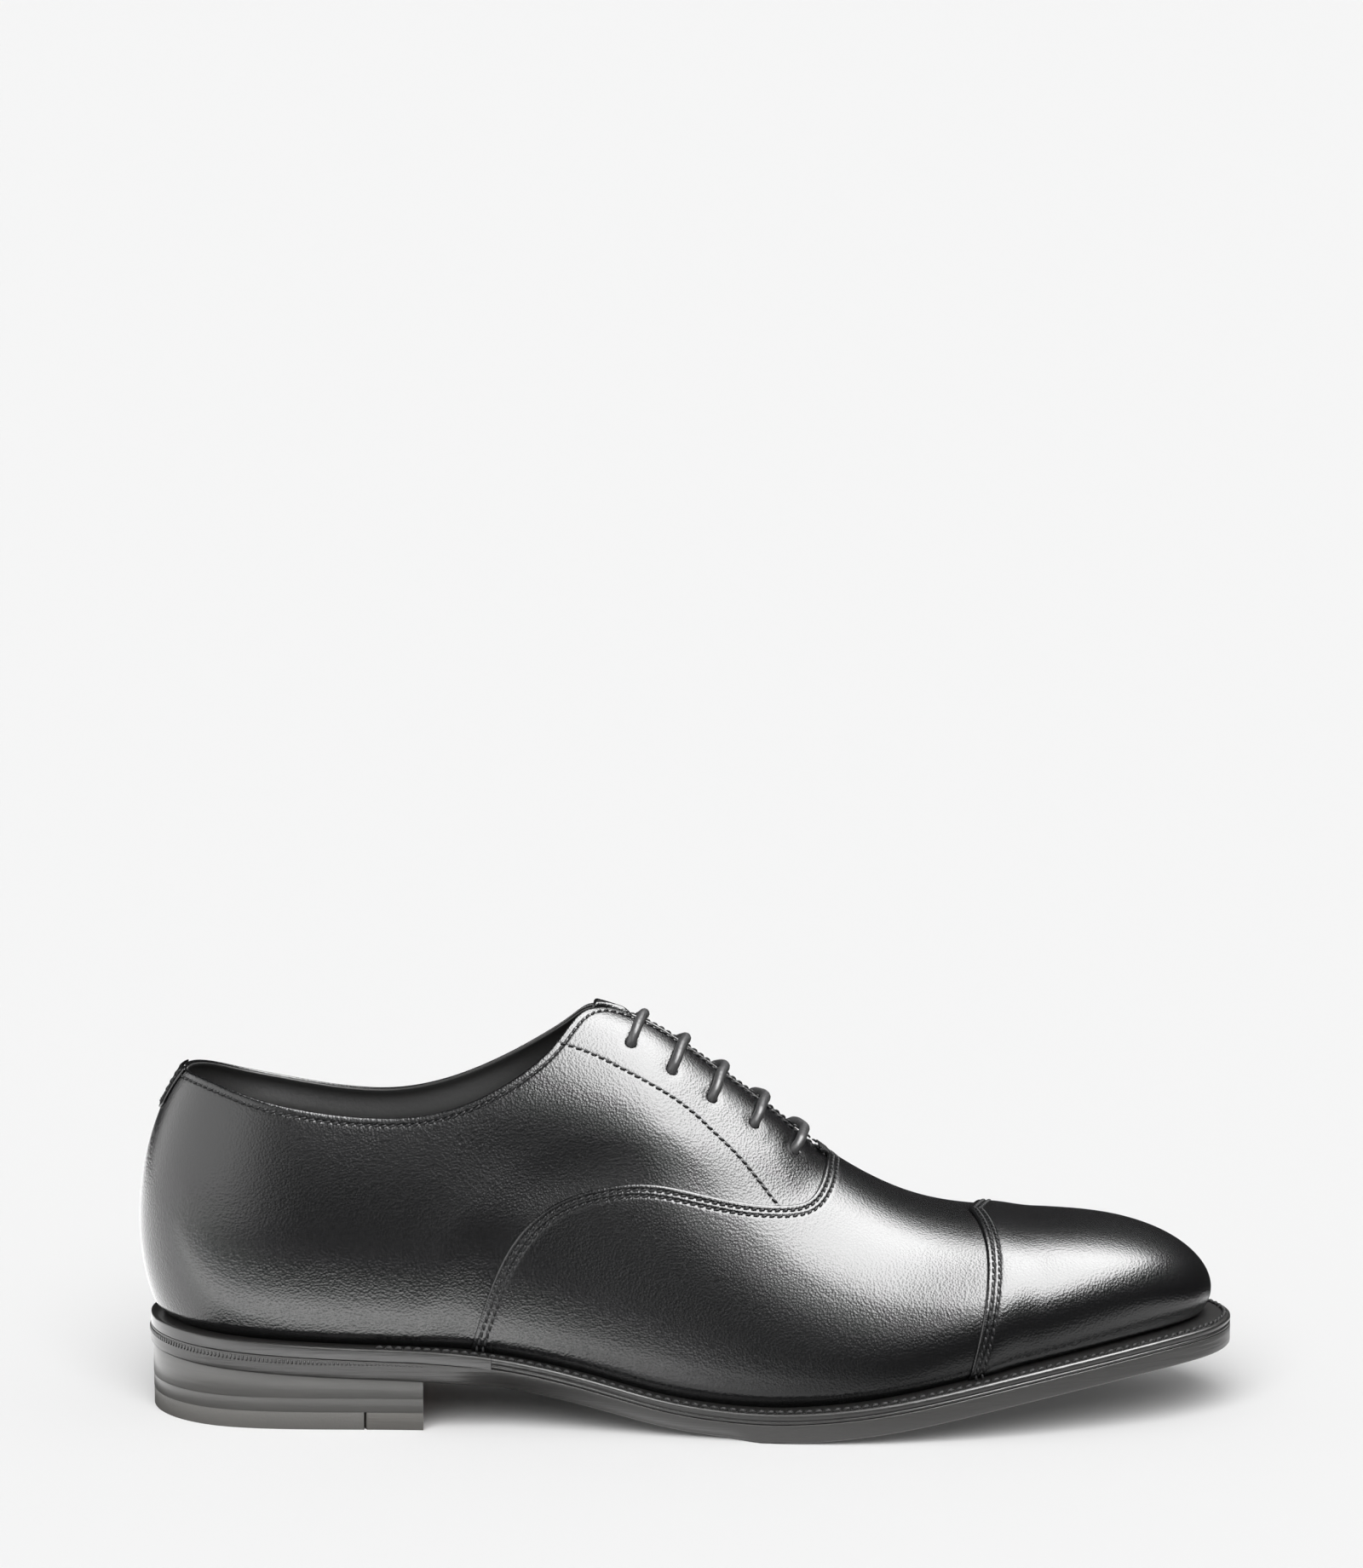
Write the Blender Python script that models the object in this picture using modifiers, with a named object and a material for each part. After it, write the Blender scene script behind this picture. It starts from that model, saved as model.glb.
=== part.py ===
"""Cap-toe leather oxford, right shoe, built from its separate pieces.

Lengths are in millimetres and become metres at MM when a mesh is made.
The shoe stands on z = 0 with its toe along +X and its outer side along -Y.
Lengths along the shoe are counted from the back of the outsole, and ORIGIN_X moves the
origin to the middle of the heel's top piece.

The upper is one smooth surface, point = last_point(u, v, side).  u runs from the back of
the heel (0) to the toe tip (1), v runs from the feather line on the welt (0) up to the
spine line of the last (1), and side is -1 for the outer side, +1 for the inner side.
"""
import math

import bmesh
import bpy
import numpy as np
from mathutils import Matrix, Vector

MM = 0.001
ORIGIN_X = 37.0
GAP = 0.3                     # clearance between neighbouring pieces

# ---- layers of the upper, measured inwards from the outer surface
LEATHER = 1.3
STAY = (2.3, 0.25)             # start, thickness
COUNTER = (2.9, 0.7)
PUFF = (1.8, 1.0)
LINING_DEEP = 4.2             # lining over the counter and the puff
LINING_NEAR = 2.8             # lining under the eyelet facings
LINING = 0.8
EYELET_DEPTH = 4.8
TONGUE = (8.7, 0.9)
TONGUE_LINING = (11.2, 0.5)
STRIP = (-1.3, 1.0)           # back strip lies on top of the quarters

# ---- bottom, measured down from the top face of the welt
WELT = 3.0
SOLE_TOP_FORE = 3.3
SOLE_TOP_REAR = 3.7
SOLE_BOTTOM_FORE = 8.05
SOLE_BOTTOM_REAR = 8.6
RAND = 3.4
INSOLE_RISE = 0.3
INSOLE = 2.8
SOCK = 0.8
CORK = 2.7
CORK_START_X = 152.0
CORK_INSET = 7.2              # from the feather line, like the next three
WELT_REACH = 4.2
RIB_OUTER = 4.7
RIB_INNER = 6.7
RAND_WIDTH = 12.0
SOCK_END_X = 95.0
UPPER_STACK = 5.4             # outer surface to inside of the lining, plus clearance
SHANK_START_X = 44.0
SHANK_END_X = 148.0
SHANK_HALF_WIDTH = 6.5
SHANK_TOP = 0.9
SHANK_FLOOR = 2.1

# ---- heel
TOP_PIECE = 4.75
LIFT_LOW = 5.05
LIFT_HIGH = 8.65
WEDGE_LOW = 8.95
BREAST_X = 77.3
BREAST_HOLLOW = 7.0
TIP_JOINT_X = 61.0
WEDGE_INSET = 0.5             # each layer of the heel stands a little further in
LIFT_INSET = 0.7
TIP_INSET = 0.9
NAIL_RADIUS = 1.2
NAIL_PLAY = 0.35
NAIL_BELOW_SOLE = 1.2
NAIL_PLACES = ((18, 0), (33, -19), (33, 19), (58, -21), (58, 21))

# ---- joints and cuts along the shoe
FLEX_X = 209.0
FLEX_GAP = 0.6
RAND_END_X = 96.0

# ---- lace
LACE_RADIUS = 1.3
HOLE_RADIUS = 2.2
EYELET_OUTER = 3.4
EYELET_HEIGHT = 0.5
LACE_OVER = -1.9              # height of the lace's centre line above the leather
LACE_UNDER = 7.2              # depth of its hidden runs
TAIL_STEPS = ((-0.002, -0.03), (-0.014, -0.075), (-0.032, -0.11), (-0.054, -0.13), (-0.077, -0.14))
BAR_RISE = ((0.012, LACE_OVER + 1.0), (0.035, LACE_OVER), (0.085, LACE_OVER), (0.14, LACE_OVER))
TIP_RADIUS = 1.1
TIP_LENGTH = 12.0
BAR_LEAN = 0.0035             # how far a bar leans to the toe at the ridge, in u

# ---- outline: length from the back, outer half width, inner half width, spine length
STATIONS = (
    (0.0, 0.0, 0.0, 44),
    (4.5, 16.0, 16.0, 46),
    (16, 27.2, 26.8, 50),
    (35, 32.5, 31.5, 58),
    (60, 33.5, 31.5, 71),
    (90, 35.0, 28.5, 95),
    (120, 38.5, 28.5, 124),
    (150, 43.8, 36.0, 153),
    (180, 48.0, 47.0, 181),
    (205, 48.5, 53.2, 205),
    (230, 45.3, 51.3, 226),
    (252, 39.5, 44.5, 241),
    (272, 31.5, 35.5, 252),
    (288, 21.5, 25.5, 259),
    (297, 12.0, 16.0, 262),
    (301.5, -2.0, 2.0, 263),
)
# ---- section handles at the same stations: feather inset, then how far the lower handle
# stands out and up from the feather, and the upper one out and down from the spine
HANDLES = (
    (2.2, 14.9, 33.3, 37.2, -6.5),
    (2.2, 12.5, 32.5, 34.0, -5.0),
    (2.2, 9.2, 31.0, 29.0, -2.0),
    (2.4, 7.5, 29.0, 25.0, 1.0),
    (2.8, 6.0, 28.0, 24.0, 3.0),
    (3.2, 5.0, 30.0, 23.0, 3.0),
    (3.6, 3.5, 34.0, 23.5, 3.0),
    (4.6, 3.0, 35.0, 22.5, 1.0),
    (5.8, 3.5, 28.5, 22.5, 0.0),
    (6.2, 4.5, 24.0, 26.0, 0.0),
    (6.4, 6.2, 22.5, 30.0, 0.0),
    (6.6, 6.9, 20.5, 31.0, 0.0),
    (7.0, 7.8, 17.5, 30.0, 0.0),
    (7.6, 9.0, 13.5, 27.5, 0.2),
    (8.4, 10.0, 10.8, 25.5, 0.4),
    (8.8, 10.4, 10.3, 25.0, 0.5),
)
# the inner side is fuller at the joint of the big toe: extra on each handle there
INNER_EXTRA = {
    7: (0, 0.5, -1, 2, 0),
    8: (0, 1.0, -1, 3, 0),
    9: (0, 1.0, 0, 3.5, 0),
    10: (0, 0.2, 0, 2.5, 0),
}
# height of the spine line of the last along the shoe
SPINE = (
    (44, 115.5), (71, 119), (100, 118), (126.5, 112.4), (141, 106.6), (155, 96.9), (169.4, 86.0),
    (183.6, 74.3), (198, 64.5), (212, 57.6), (226.4, 54.0), (245, 52.8), (263, 52.0),
)
SPINE_SWING = 2.0             # the spine drifts to the inner side towards the toe
# height of the welt's top face along the shoe
WELT_TOP = (
    (0, 26.4), (30, 24.5), (60, 22.9), (92, 21.2), (111, 18.2), (127, 14.5), (143, 10.7), (157, 8.8),
    (171, 8.1), (184, 8.6), (208, 11.6), (224, 14.6), (238, 17.3), (261, 21.1), (284, 23.8), (301, 24.6),
)

# ---- panel edges as (u, v) on the last
VAMP_EDGE = (
    (0.3155, 0), (0.3295, 0.15), (0.3475, 0.27), (0.3815, 0.372), (0.4175, 0.424), (0.4575, 0.460),
    (0.5145, 0.494), (0.5455, 0.523), (0.5725, 0.568), (0.5915, 0.625), (0.6025, 0.71), (0.6085, 0.83),
    (0.6105, 1),
)
CAP_EDGE = ((0.7265, 0), (0.7335, 0.2), (0.7385, 0.45), (0.7415, 0.7), (0.7425, 0.9), (0.7425, 1))
TOPLINE_OUTER = (
    (0, 0.611), (0.030, 0.609), (0.068, 0.594), (0.108, 0.566), (0.160, 0.547), (0.2135, 0.540),
    (0.2675, 0.544), (0.2985, 0.564), (0.3285, 0.606), (0.3575, 0.674), (0.3775, 0.755), (0.3975, 0.905),
)
TOPLINE_INNER = (
    (0, 0.611), (0.030, 0.606), (0.060, 0.583), (0.086, 0.560), (0.130, 0.535), (0.183, 0.524),
    (0.235, 0.526), (0.282, 0.556), (0.328, 0.623), (0.360, 0.700), (0.382, 0.780), (0.400, 0.905),
)
FACING_EDGE_V = 0.986
FACING_TOP_U = 0.4065
EYELETS = ((0.4392, 0.827), (0.4752, 0.797), (0.5102, 0.787), (0.5472, 0.798), (0.5822, 0.826))

# ---- pieces inside the upper and on top of it: their first and last u, then low and high v
STAY_SPAN = (0.425, 0.592, 0.74, 0.92)
COUNTER_SPAN = (0.25, 0.01, 0.33)     # reach in u on each side, low and high v
STRIP_SPAN = (0.032, 0.44, 0.608)
PUFF_BEHIND_CAP = 0.02
TONGUE_END_U = 0.645
TONGUE_START_U = 0.383
TONGUE_LINING_START_U = 0.425

UP = (0, 0, 1)
UV_SCALE = np.array([345.0, 105.0])   # rough lengths of u and v, for distances on the last
SEAM_CLEARANCE = 0.45
SEAM_HALF_GAP_U = 0.0006
HEEL_SEAM_U = 0.0026
HEEL_COLUMNS = 9
QUARTER_ROWS = 7
PANEL_ROWS = 13

BLACK_CALF = (0.012, 0.012, 0.013, 1)
LINING_BLACK = (0.02, 0.019, 0.018, 1)
SOLE_EDGE = (0.03, 0.028, 0.027, 1)
TAN = (0.30, 0.17, 0.09, 1)
CORK_TAN = (0.35, 0.22, 0.12, 1)
STEEL = (0.55, 0.55, 0.56, 1)
BRASS = (0.60, 0.45, 0.16, 1)
RUBBER = (0.05, 0.05, 0.048, 1)


# ------------------------------------------------------------------ curves
def spline(knots, values, start_slope=None, end_slope=None):
    """Cubic spline through values at knots; a slope left as None leaves that end free."""
    knots = np.asarray(knots, float)
    values = np.asarray(values, float)
    count = len(knots)
    step = np.diff(knots)
    rise = np.diff(values) / step
    matrix = np.zeros((count, count))
    right = np.zeros(count)
    matrix[0, :2] = (2, 1) if start_slope is None else (1, 0)
    right[0] = 3 * rise[0] if start_slope is None else start_slope
    matrix[-1, -2:] = (1, 2) if end_slope is None else (0, 1)
    right[-1] = 3 * rise[-1] if end_slope is None else end_slope
    for i in range(1, count - 1):
        matrix[i, i - 1:i + 2] = (step[i], 2 * (step[i - 1] + step[i]), step[i - 1])
        right[i] = 3 * (step[i] * rise[i - 1] + step[i - 1] * rise[i])
    slope = np.linalg.solve(matrix, right)

    def value(t):
        i = int(np.clip(np.searchsorted(knots, t, side="right") - 1, 0, count - 2))
        s = (t - knots[i]) / step[i]
        return ((1 + 2 * s) * (1 - s) ** 2 * values[i] + s * (1 - s) ** 2 * step[i] * slope[i]
                + s * s * (3 - 2 * s) * values[i + 1] + s * s * (s - 1) * step[i] * slope[i + 1])
    return value


def smoothstep(value, low, high):
    t = min(1.0, max(0.0, (value - low) / (high - low)))
    return t * t * (3 - 2 * t)


def station_knots():
    """Distance along the outline, the mean of both sides, scaled to run from 0 to 1."""
    rows = np.array(STATIONS)
    outer = np.hypot(np.diff(rows[:, 0]), np.diff(rows[:, 1]))
    inner = np.hypot(np.diff(rows[:, 0]), np.diff(rows[:, 2]))
    knots = np.concatenate([[0], np.cumsum(outer + inner)])
    return knots / knots[-1]


KNOTS = station_knots()
edge_x = spline(KNOTS, [s[0] for s in STATIONS], 0, 0)
edge_outer = spline(KNOTS, [s[1] for s in STATIONS])
edge_inner = spline(KNOTS, [s[2] for s in STATIONS])
spine_x = spline(KNOTS, [s[3] for s in STATIONS], 0, 0)
spine_z = spline([p[0] for p in SPINE], [p[1] for p in SPINE])
welt_top = spline([p[0] for p in WELT_TOP], [p[1] for p in WELT_TOP])


def handle_splines(extra):
    rows = np.array(HANDLES, float)
    for station, more in extra.items():
        rows[station] += more
    return [spline(KNOTS, rows[:, k], 0, 0) for k in range(5)]


outer_handles = handle_splines({})
inner_handles = handle_splines(INNER_EXTRA)


def sole_edge(u, side):
    return np.array([edge_x(u), -edge_outer(u) if side < 0 else edge_inner(u)])


def outward(u, side):
    """Level unit vector that points out of the outline."""
    u = min(1 - 1e-4, max(1e-4, u))
    along = sole_edge(u + 1e-4, side) - sole_edge(u - 1e-4, side)
    normal = np.array([-along[1], along[0]]) * side
    return normal / np.hypot(*normal)


def surface(u, v, side):
    handles = outer_handles if side < 0 else inner_handles
    inset, low_out, low_up, high_out, high_down = [f(u) for f in handles]
    level = outward(u, side)
    foot = sole_edge(u, side) - level * inset
    start = np.array([foot[0], foot[1], welt_top(foot[0]) + GAP])
    top_x = spine_x(u)
    slope = spine_z(top_x + 0.5) - spine_z(top_x - 0.5)
    end = np.array([top_x, SPINE_SWING * min(1, max(0, (top_x - 150) / 110)), spine_z(top_x)])
    out = np.array([level[0], level[1], 0])
    low = start + out * low_out + np.array([0, 0, low_up])
    high = end + out * high_out + np.array([0, 0, slope * level[0] * high_out - high_down])
    return (1 - v) ** 3 * start + 3 * v * (1 - v) ** 2 * low + 3 * v * v * (1 - v) * high + v ** 3 * end


def surface_normal(u, v, side):
    step = 2e-3
    v = min(v, 0.994)
    along = surface(min(1, u + step), v, side) - surface(max(0, u - step), v, side)
    up = surface(u, min(1, v + step), side) - surface(u, max(0, v - step), side)
    normal = np.cross(along, up) * -side
    return normal / np.linalg.norm(normal)


def last_point(u, v, side, depth=0.0):
    return surface(u, v, side) - surface_normal(u, v, side) * depth


def uv_curve(points):
    """Smooth curve through (u, v) points; t runs 0 to 1 by length."""
    pts = np.array(points, float)
    length = np.concatenate([[0], np.cumsum(np.hypot(*((np.diff(pts, axis=0) * UV_SCALE).T)))])
    length /= length[-1]
    u_of = spline(length, pts[:, 0])
    v_of = spline(length, pts[:, 1])
    return lambda t: np.array([u_of(t), v_of(t)])


vamp_edge = uv_curve(VAMP_EDGE)
cap_edge = uv_curve(CAP_EDGE)
EDGE_STEPS = [float(t) for t in np.linspace(0, 1, PANEL_ROWS + 1)]
EDGE_SAMPLES = [vamp_edge(t) for t in EDGE_STEPS]
ROW_V = [float(p[1]) for p in EDGE_SAMPLES]
ROW_VAMP_U = [float(p[0]) for p in EDGE_SAMPLES]


def cap_u(v):
    samples = [cap_edge(t) for t in np.linspace(0, 1, 60)]
    return float(np.interp(v, [p[1] for p in samples], [p[0] for p in samples]))


ROW_CAP_U = [cap_u(v) for v in ROW_V]


# ------------------------------------------------------------------ objects
def material(name, colour, roughness, metallic=0.0):
    found = bpy.data.materials.get(name)
    if found:
        return found
    mat = bpy.data.materials.new(name)
    mat.use_nodes = True
    shader = mat.node_tree.nodes["Principled BSDF"]
    shader.inputs["Base Color"].default_value = colour
    shader.inputs["Roughness"].default_value = roughness
    shader.inputs["Metallic"].default_value = metallic
    return mat


def add_object(name, mesh, collection, mat):
    obj = bpy.data.objects.new(name, mesh)
    collection.objects.link(obj)
    if mat:
        mesh.materials.append(mat)
    return obj


def to_frame(point):
    """Millimetres on the last to metres from the origin."""
    return ((point[0] - ORIGIN_X) * MM, point[1] * MM, point[2] * MM)


def mesh_from(name, points, faces):
    """Mesh from points in millimetres, with points that coincide welded into one."""
    shifted = [to_frame(p) for p in points]
    mesh = bpy.data.meshes.new(name)
    mesh.from_pydata(shifted, [], faces)
    bm = bmesh.new()
    bm.from_mesh(mesh)
    bmesh.ops.remove_doubles(bm, verts=bm.verts, dist=0.00002)
    bmesh.ops.dissolve_degenerate(bm, edges=bm.edges, dist=0.00001)
    bm.to_mesh(mesh)
    bm.free()
    mesh.shade_smooth()
    return mesh


def grid_faces(columns, rows):
    """Quads of a grid stored column by column."""
    faces = []
    for i in range(columns - 1):
        for j in range(rows - 1):
            a = i * rows + j
            faces.append((a, a + rows, a + rows + 1, a + 1))
    return faces


def shell(name, columns, depth, thickness, collection, mat):
    """Sheet through columns of (u, v, side), thickened inwards with Solidify."""
    if not callable(depth):
        fixed = depth

        def depth(u):
            return fixed
    points = [last_point(u, v, side, depth(u)) for column in columns for u, v, side in column]
    mesh = mesh_from(name, points, grid_faces(len(columns), len(columns[0])))
    obj = add_object(name, mesh, collection, mat)
    solid = obj.modifiers.new("thickness", "SOLIDIFY")
    solid.thickness = thickness * MM
    solid.offset = -1
    return obj


# ------------------------------------------------------------------ upper
def arch_columns(left_u, right_u, count):
    """Columns that cross the ridge from the outer feather to the inner one."""
    columns = []
    for i in range(count + 1):
        share = i / count
        outer = [(left + (right - left) * share, v, -1) for left, right, v in zip(left_u, right_u, ROW_V)]
        inner = [(u, v, 1) for u, v, _ in reversed(outer[:-1])]
        columns.append(outer + inner)
    return columns


def nose_columns(left_u, count):
    """Columns that wrap round the toe from the outer side to the inner one."""
    outer = []
    for i in range(count + 1):
        share = 1 - (1 - i / count) ** 1.15
        outer.append([(left + (1 - left) * share, v, -1) for left, v in zip(left_u, ROW_V)])
    inner = [[(u, v, 1) for u, v, _ in column] for column in reversed(outer[:-1])]
    return outer + inner


def top_edge(side):
    """Height v of the quarter's upper edge at u: the topline, then the facing edge."""
    line = TOPLINE_OUTER if side < 0 else TOPLINE_INNER
    points = list(line) + [(FACING_TOP_U - 0.003, 0.965), (FACING_TOP_U + 0.004, FACING_EDGE_V)]
    points += [(u, FACING_EDGE_V) for u in (0.45, 0.50, 0.55, 0.62)]
    curve = uv_curve(points)
    samples = [curve(t) for t in np.linspace(0, 1, 300)]
    places, heights = zip(*samples)
    return lambda u: float(min(FACING_EDGE_V, np.interp(u, places, heights)))


def beside_vamp(t):
    """Point of the vamp edge moved a little onto the quarter, square to the edge."""
    along = (vamp_edge(min(1, t + 0.01)) - vamp_edge(max(0, t - 0.01))) * UV_SCALE
    square = np.array([-along[1], along[0]]) / np.hypot(*along)
    return vamp_edge(t) + square * SEAM_CLEARANCE / UV_SCALE


def quarter_columns(side):
    """Upright columns from the feather or the vamp edge up to the topline."""
    top = top_edge(side)
    foot_u = float(beside_vamp(0)[0])
    starts = [(HEEL_SEAM_U + (foot_u - HEEL_SEAM_U) * i / HEEL_COLUMNS, 0.0) for i in range(HEEL_COLUMNS)]
    starts += [(float(p[0]), max(0.0, float(p[1]))) for p in (beside_vamp(t) for t in EDGE_STEPS)]
    columns = []
    for u, low in starts:
        high = top(u)
        low = min(low, high)
        columns.append([(u, low + (high - low) * j / QUARTER_ROWS, side) for j in range(QUARTER_ROWS + 1)])
    return columns if side < 0 else columns[::-1]


def lining_depth(u):
    return LINING_DEEP + (LINING_NEAR - LINING_DEEP) * smoothstep(u, 0.28, 0.38)


def facing_columns(side):
    """Strip under the eyelets, from the topline to the throat."""
    first, last, low, high = STAY_SPAN
    columns = []
    for u in np.linspace(first, last, 9):
        columns.append([(u, v, side) for v in np.linspace(low, high, 5)])
    return columns if side < 0 else columns[::-1]


def heel_columns(reach, low, high, count, rows):
    """Columns that wrap round the back of the heel."""
    us = [reach * i / count for i in range(count, 0, -1)]
    inner = [(u, 1) for u in us]
    outer = [(u, -1) for u in reversed(us)]
    order = inner + [(0.0, -1)] + outer
    return [[(u, low + (high - low) * j / rows, side) for j in range(rows + 1)] for u, side in order]


def tongue_columns(start):
    """Columns across the tongue, which is narrow at its top end and wide under the lacing."""
    columns = []
    for u in np.linspace(start, TONGUE_END_U, 9):
        low = 0.835 - 0.055 * smoothstep(u, TONGUE_START_U, 0.45)
        outer = [(u, v, -1) for v in np.linspace(low, 1, 5)]
        columns.append(outer + [(u, v, 1) for _, v, _ in reversed(outer[:-1])])
    return columns


def build_upper(parts):
    calf = material("black_calf", BLACK_CALF, 0.25)
    lining = material("lining_leather", LINING_BLACK, 0.6)
    stiff = material("stiffener", TAN, 0.8)
    vamp_left = [u + SEAM_HALF_GAP_U for u in ROW_VAMP_U]
    cap_left = [u + SEAM_HALF_GAP_U for u in ROW_CAP_U]
    vamp_right = [u - SEAM_HALF_GAP_U for u in ROW_CAP_U]
    puff_left = [u + PUFF_BEHIND_CAP for u in ROW_CAP_U]
    made = {}
    made["toe_cap"] = shell("toe_cap", nose_columns(cap_left, 6), 0, LEATHER, parts, calf)
    made["vamp"] = shell("vamp", arch_columns(vamp_left, vamp_right, 7), 0, LEATHER, parts, calf)
    for side, word in ((-1, "lateral"), (1, "medial")):
        columns = quarter_columns(side)
        made["quarter_" + word] = shell("quarter_" + word, columns, 0, LEATHER, parts, calf)
        name = "quarter_lining_" + word
        made[name] = shell(name, columns, lining_depth, LINING, parts, lining)
        name = "facing_stay_" + word
        made[name] = shell(name, facing_columns(side), *STAY, parts, stiff)
    shell("vamp_lining", nose_columns(vamp_left, 11), LINING_DEEP, LINING, parts, lining)
    shell("toe_puff", nose_columns(puff_left, 6), *PUFF, parts, stiff)
    shell("heel_counter", heel_columns(*COUNTER_SPAN, 9, 4), *COUNTER, parts, stiff)
    shell("back_strip", heel_columns(*STRIP_SPAN, 2, 3), *STRIP, parts, calf)
    shell("tongue", tongue_columns(TONGUE_START_U), *TONGUE, parts, calf)
    shell("tongue_lining", tongue_columns(TONGUE_LINING_START_U), *TONGUE_LINING, parts, lining)
    return made


# ------------------------------------------------------------------ bottom
def inset_outline(inset, side):
    """Dense outline moved in by inset(u); returns lengths and half widths."""
    points = []
    for u in np.linspace(0, 1, 241):
        points.append(sole_edge(u, side) - outward(u, side) * inset(u, side))
    points = np.array(points)
    return points[:, 0], points[:, 1]


def fixed_inset(amount):
    return lambda u, side: amount


def feather_inset(more):
    return lambda u, side: (outer_handles if side < 0 else inner_handles)[0](u) + more


def plate(name, start, end, inset, top, bottom, collection, mat, count=14, hollow=0.0):
    """Flat piece between two lengths, None being the heel back or the toe tip.

    top and bottom give its heights at a length, and hollow is how far its front edge curves back.
    """
    across = 4
    outer_x, outer_y = inset_outline(inset, -1)
    inner_x, inner_y = inset_outline(inset, 1)
    low = max(outer_x[0], inner_x[0])
    high = min(outer_x[-1], inner_x[-1])
    first = low if start is None else start
    last = high if end is None else end
    points = []
    for i in range(count + 1):
        share = i / count
        if start is None:
            share = share ** 1.7
        if end is None:
            share = 1 - (1 - share) ** 1.7
        x = first + (last - first) * share
        left = np.interp(x, outer_x, outer_y)
        right = np.interp(x, inner_x, inner_y)
        if (start is None and i == 0) or (end is None and i == count):
            left = right = (left + right) / 2
        for t in range(across + 1):
            cross = t / across
            bend = hollow * share ** 3 * (1 - (2 * cross - 1) ** 2)
            points.append((x - bend, left + (right - left) * cross, 0, x))
    upper = [(x, y, top(length)) for x, y, _, length in points]
    lower = [(x, y, bottom(length)) for x, y, _, length in points]
    rows = across + 1
    size = (count + 1) * rows
    faces = grid_faces(count + 1, rows)
    faces += [tuple(size + k for k in reversed(face)) for face in grid_faces(count + 1, rows)]
    rim = [i * rows for i in range(count + 1)]
    rim += [count * rows + t for t in range(1, rows)]
    rim += [i * rows + across for i in range(count - 1, -1, -1)]
    rim += list(range(across - 1, 0, -1))
    for a, b in zip(rim, rim[1:] + rim[:1]):
        faces.append((b, a, size + a, size + b))
    mesh = mesh_from(name, upper + lower, faces)
    return add_object(name, mesh, collection, mat)


def ring(name, cut_x, outer_inset, inner_inset, top, bottom, collection, mat,
         count=14, toe=True, sides=(-1, 1)):
    """Strip that follows the edge: round the toe or the heel, or along one side."""
    sections = []
    for side in sides:
        out_x, out_y = inset_outline(outer_inset, side)
        in_x, in_y = inset_outline(inner_inset, side)
        u_grid = np.linspace(0, 1, 241)
        half = []
        cuts = cut_x if isinstance(cut_x, tuple) else (cut_x,)
        for cut in cuts:
            half.append(((cut, np.interp(cut, out_x, out_y)), (cut, np.interp(cut, in_x, in_y))))
        u_cut = [float(np.interp(cut, out_x, u_grid)) for cut in cuts]
        if len(cuts) == 2:
            inner_us = np.linspace(u_cut[0], u_cut[1], count + 1)[1:-1]
        elif toe:
            inner_us = np.linspace(u_cut[0], 1, count + 1)[1:]
        else:
            inner_us = np.linspace(u_cut[0], 0, count + 1)[1:]
        middle = []
        for u in inner_us:
            middle.append(((np.interp(u, u_grid, out_x), np.interp(u, u_grid, out_y)),
                           (np.interp(u, u_grid, in_x), np.interp(u, u_grid, in_y))))
        half = [half[0]] + middle + half[1:]
        sections.append(half)
    path = sections[0]
    if len(sections) == 2:
        path = path + sections[1][::-1][1:]
    points = []
    for outer, inner in path:
        points.append((outer[0], outer[1], top(outer[0])))
        points.append((inner[0], inner[1], top(inner[0])))
        points.append((inner[0], inner[1], bottom(inner[0])))
        points.append((outer[0], outer[1], bottom(outer[0])))
    faces = []
    for i in range(len(path) - 1):
        a = 4 * i
        for k in range(4):
            n = (k + 1) % 4
            faces.append((a + k, a + n, a + 4 + n, a + 4 + k))
    last = 4 * (len(path) - 1)
    faces.append((3, 2, 1, 0))
    faces.append((last, last + 1, last + 2, last + 3))
    mesh = mesh_from(name, points, faces)
    bm = bmesh.new()
    bm.from_mesh(mesh)
    bmesh.ops.recalc_face_normals(bm, faces=bm.faces)
    bm.to_mesh(mesh)
    bm.free()
    return add_object(name, mesh, collection, mat)


def below_welt(amount):
    return lambda x: welt_top(x) - amount


def sole_bottom(x):
    return welt_top(x) - SOLE_BOTTOM_REAR + (SOLE_BOTTOM_REAR - SOLE_BOTTOM_FORE) * smoothstep(x, 110, 160)


def sole_top(x):
    return welt_top(x) - SOLE_TOP_REAR + (SOLE_TOP_REAR - SOLE_TOP_FORE) * smoothstep(x, 80, 110)


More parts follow.
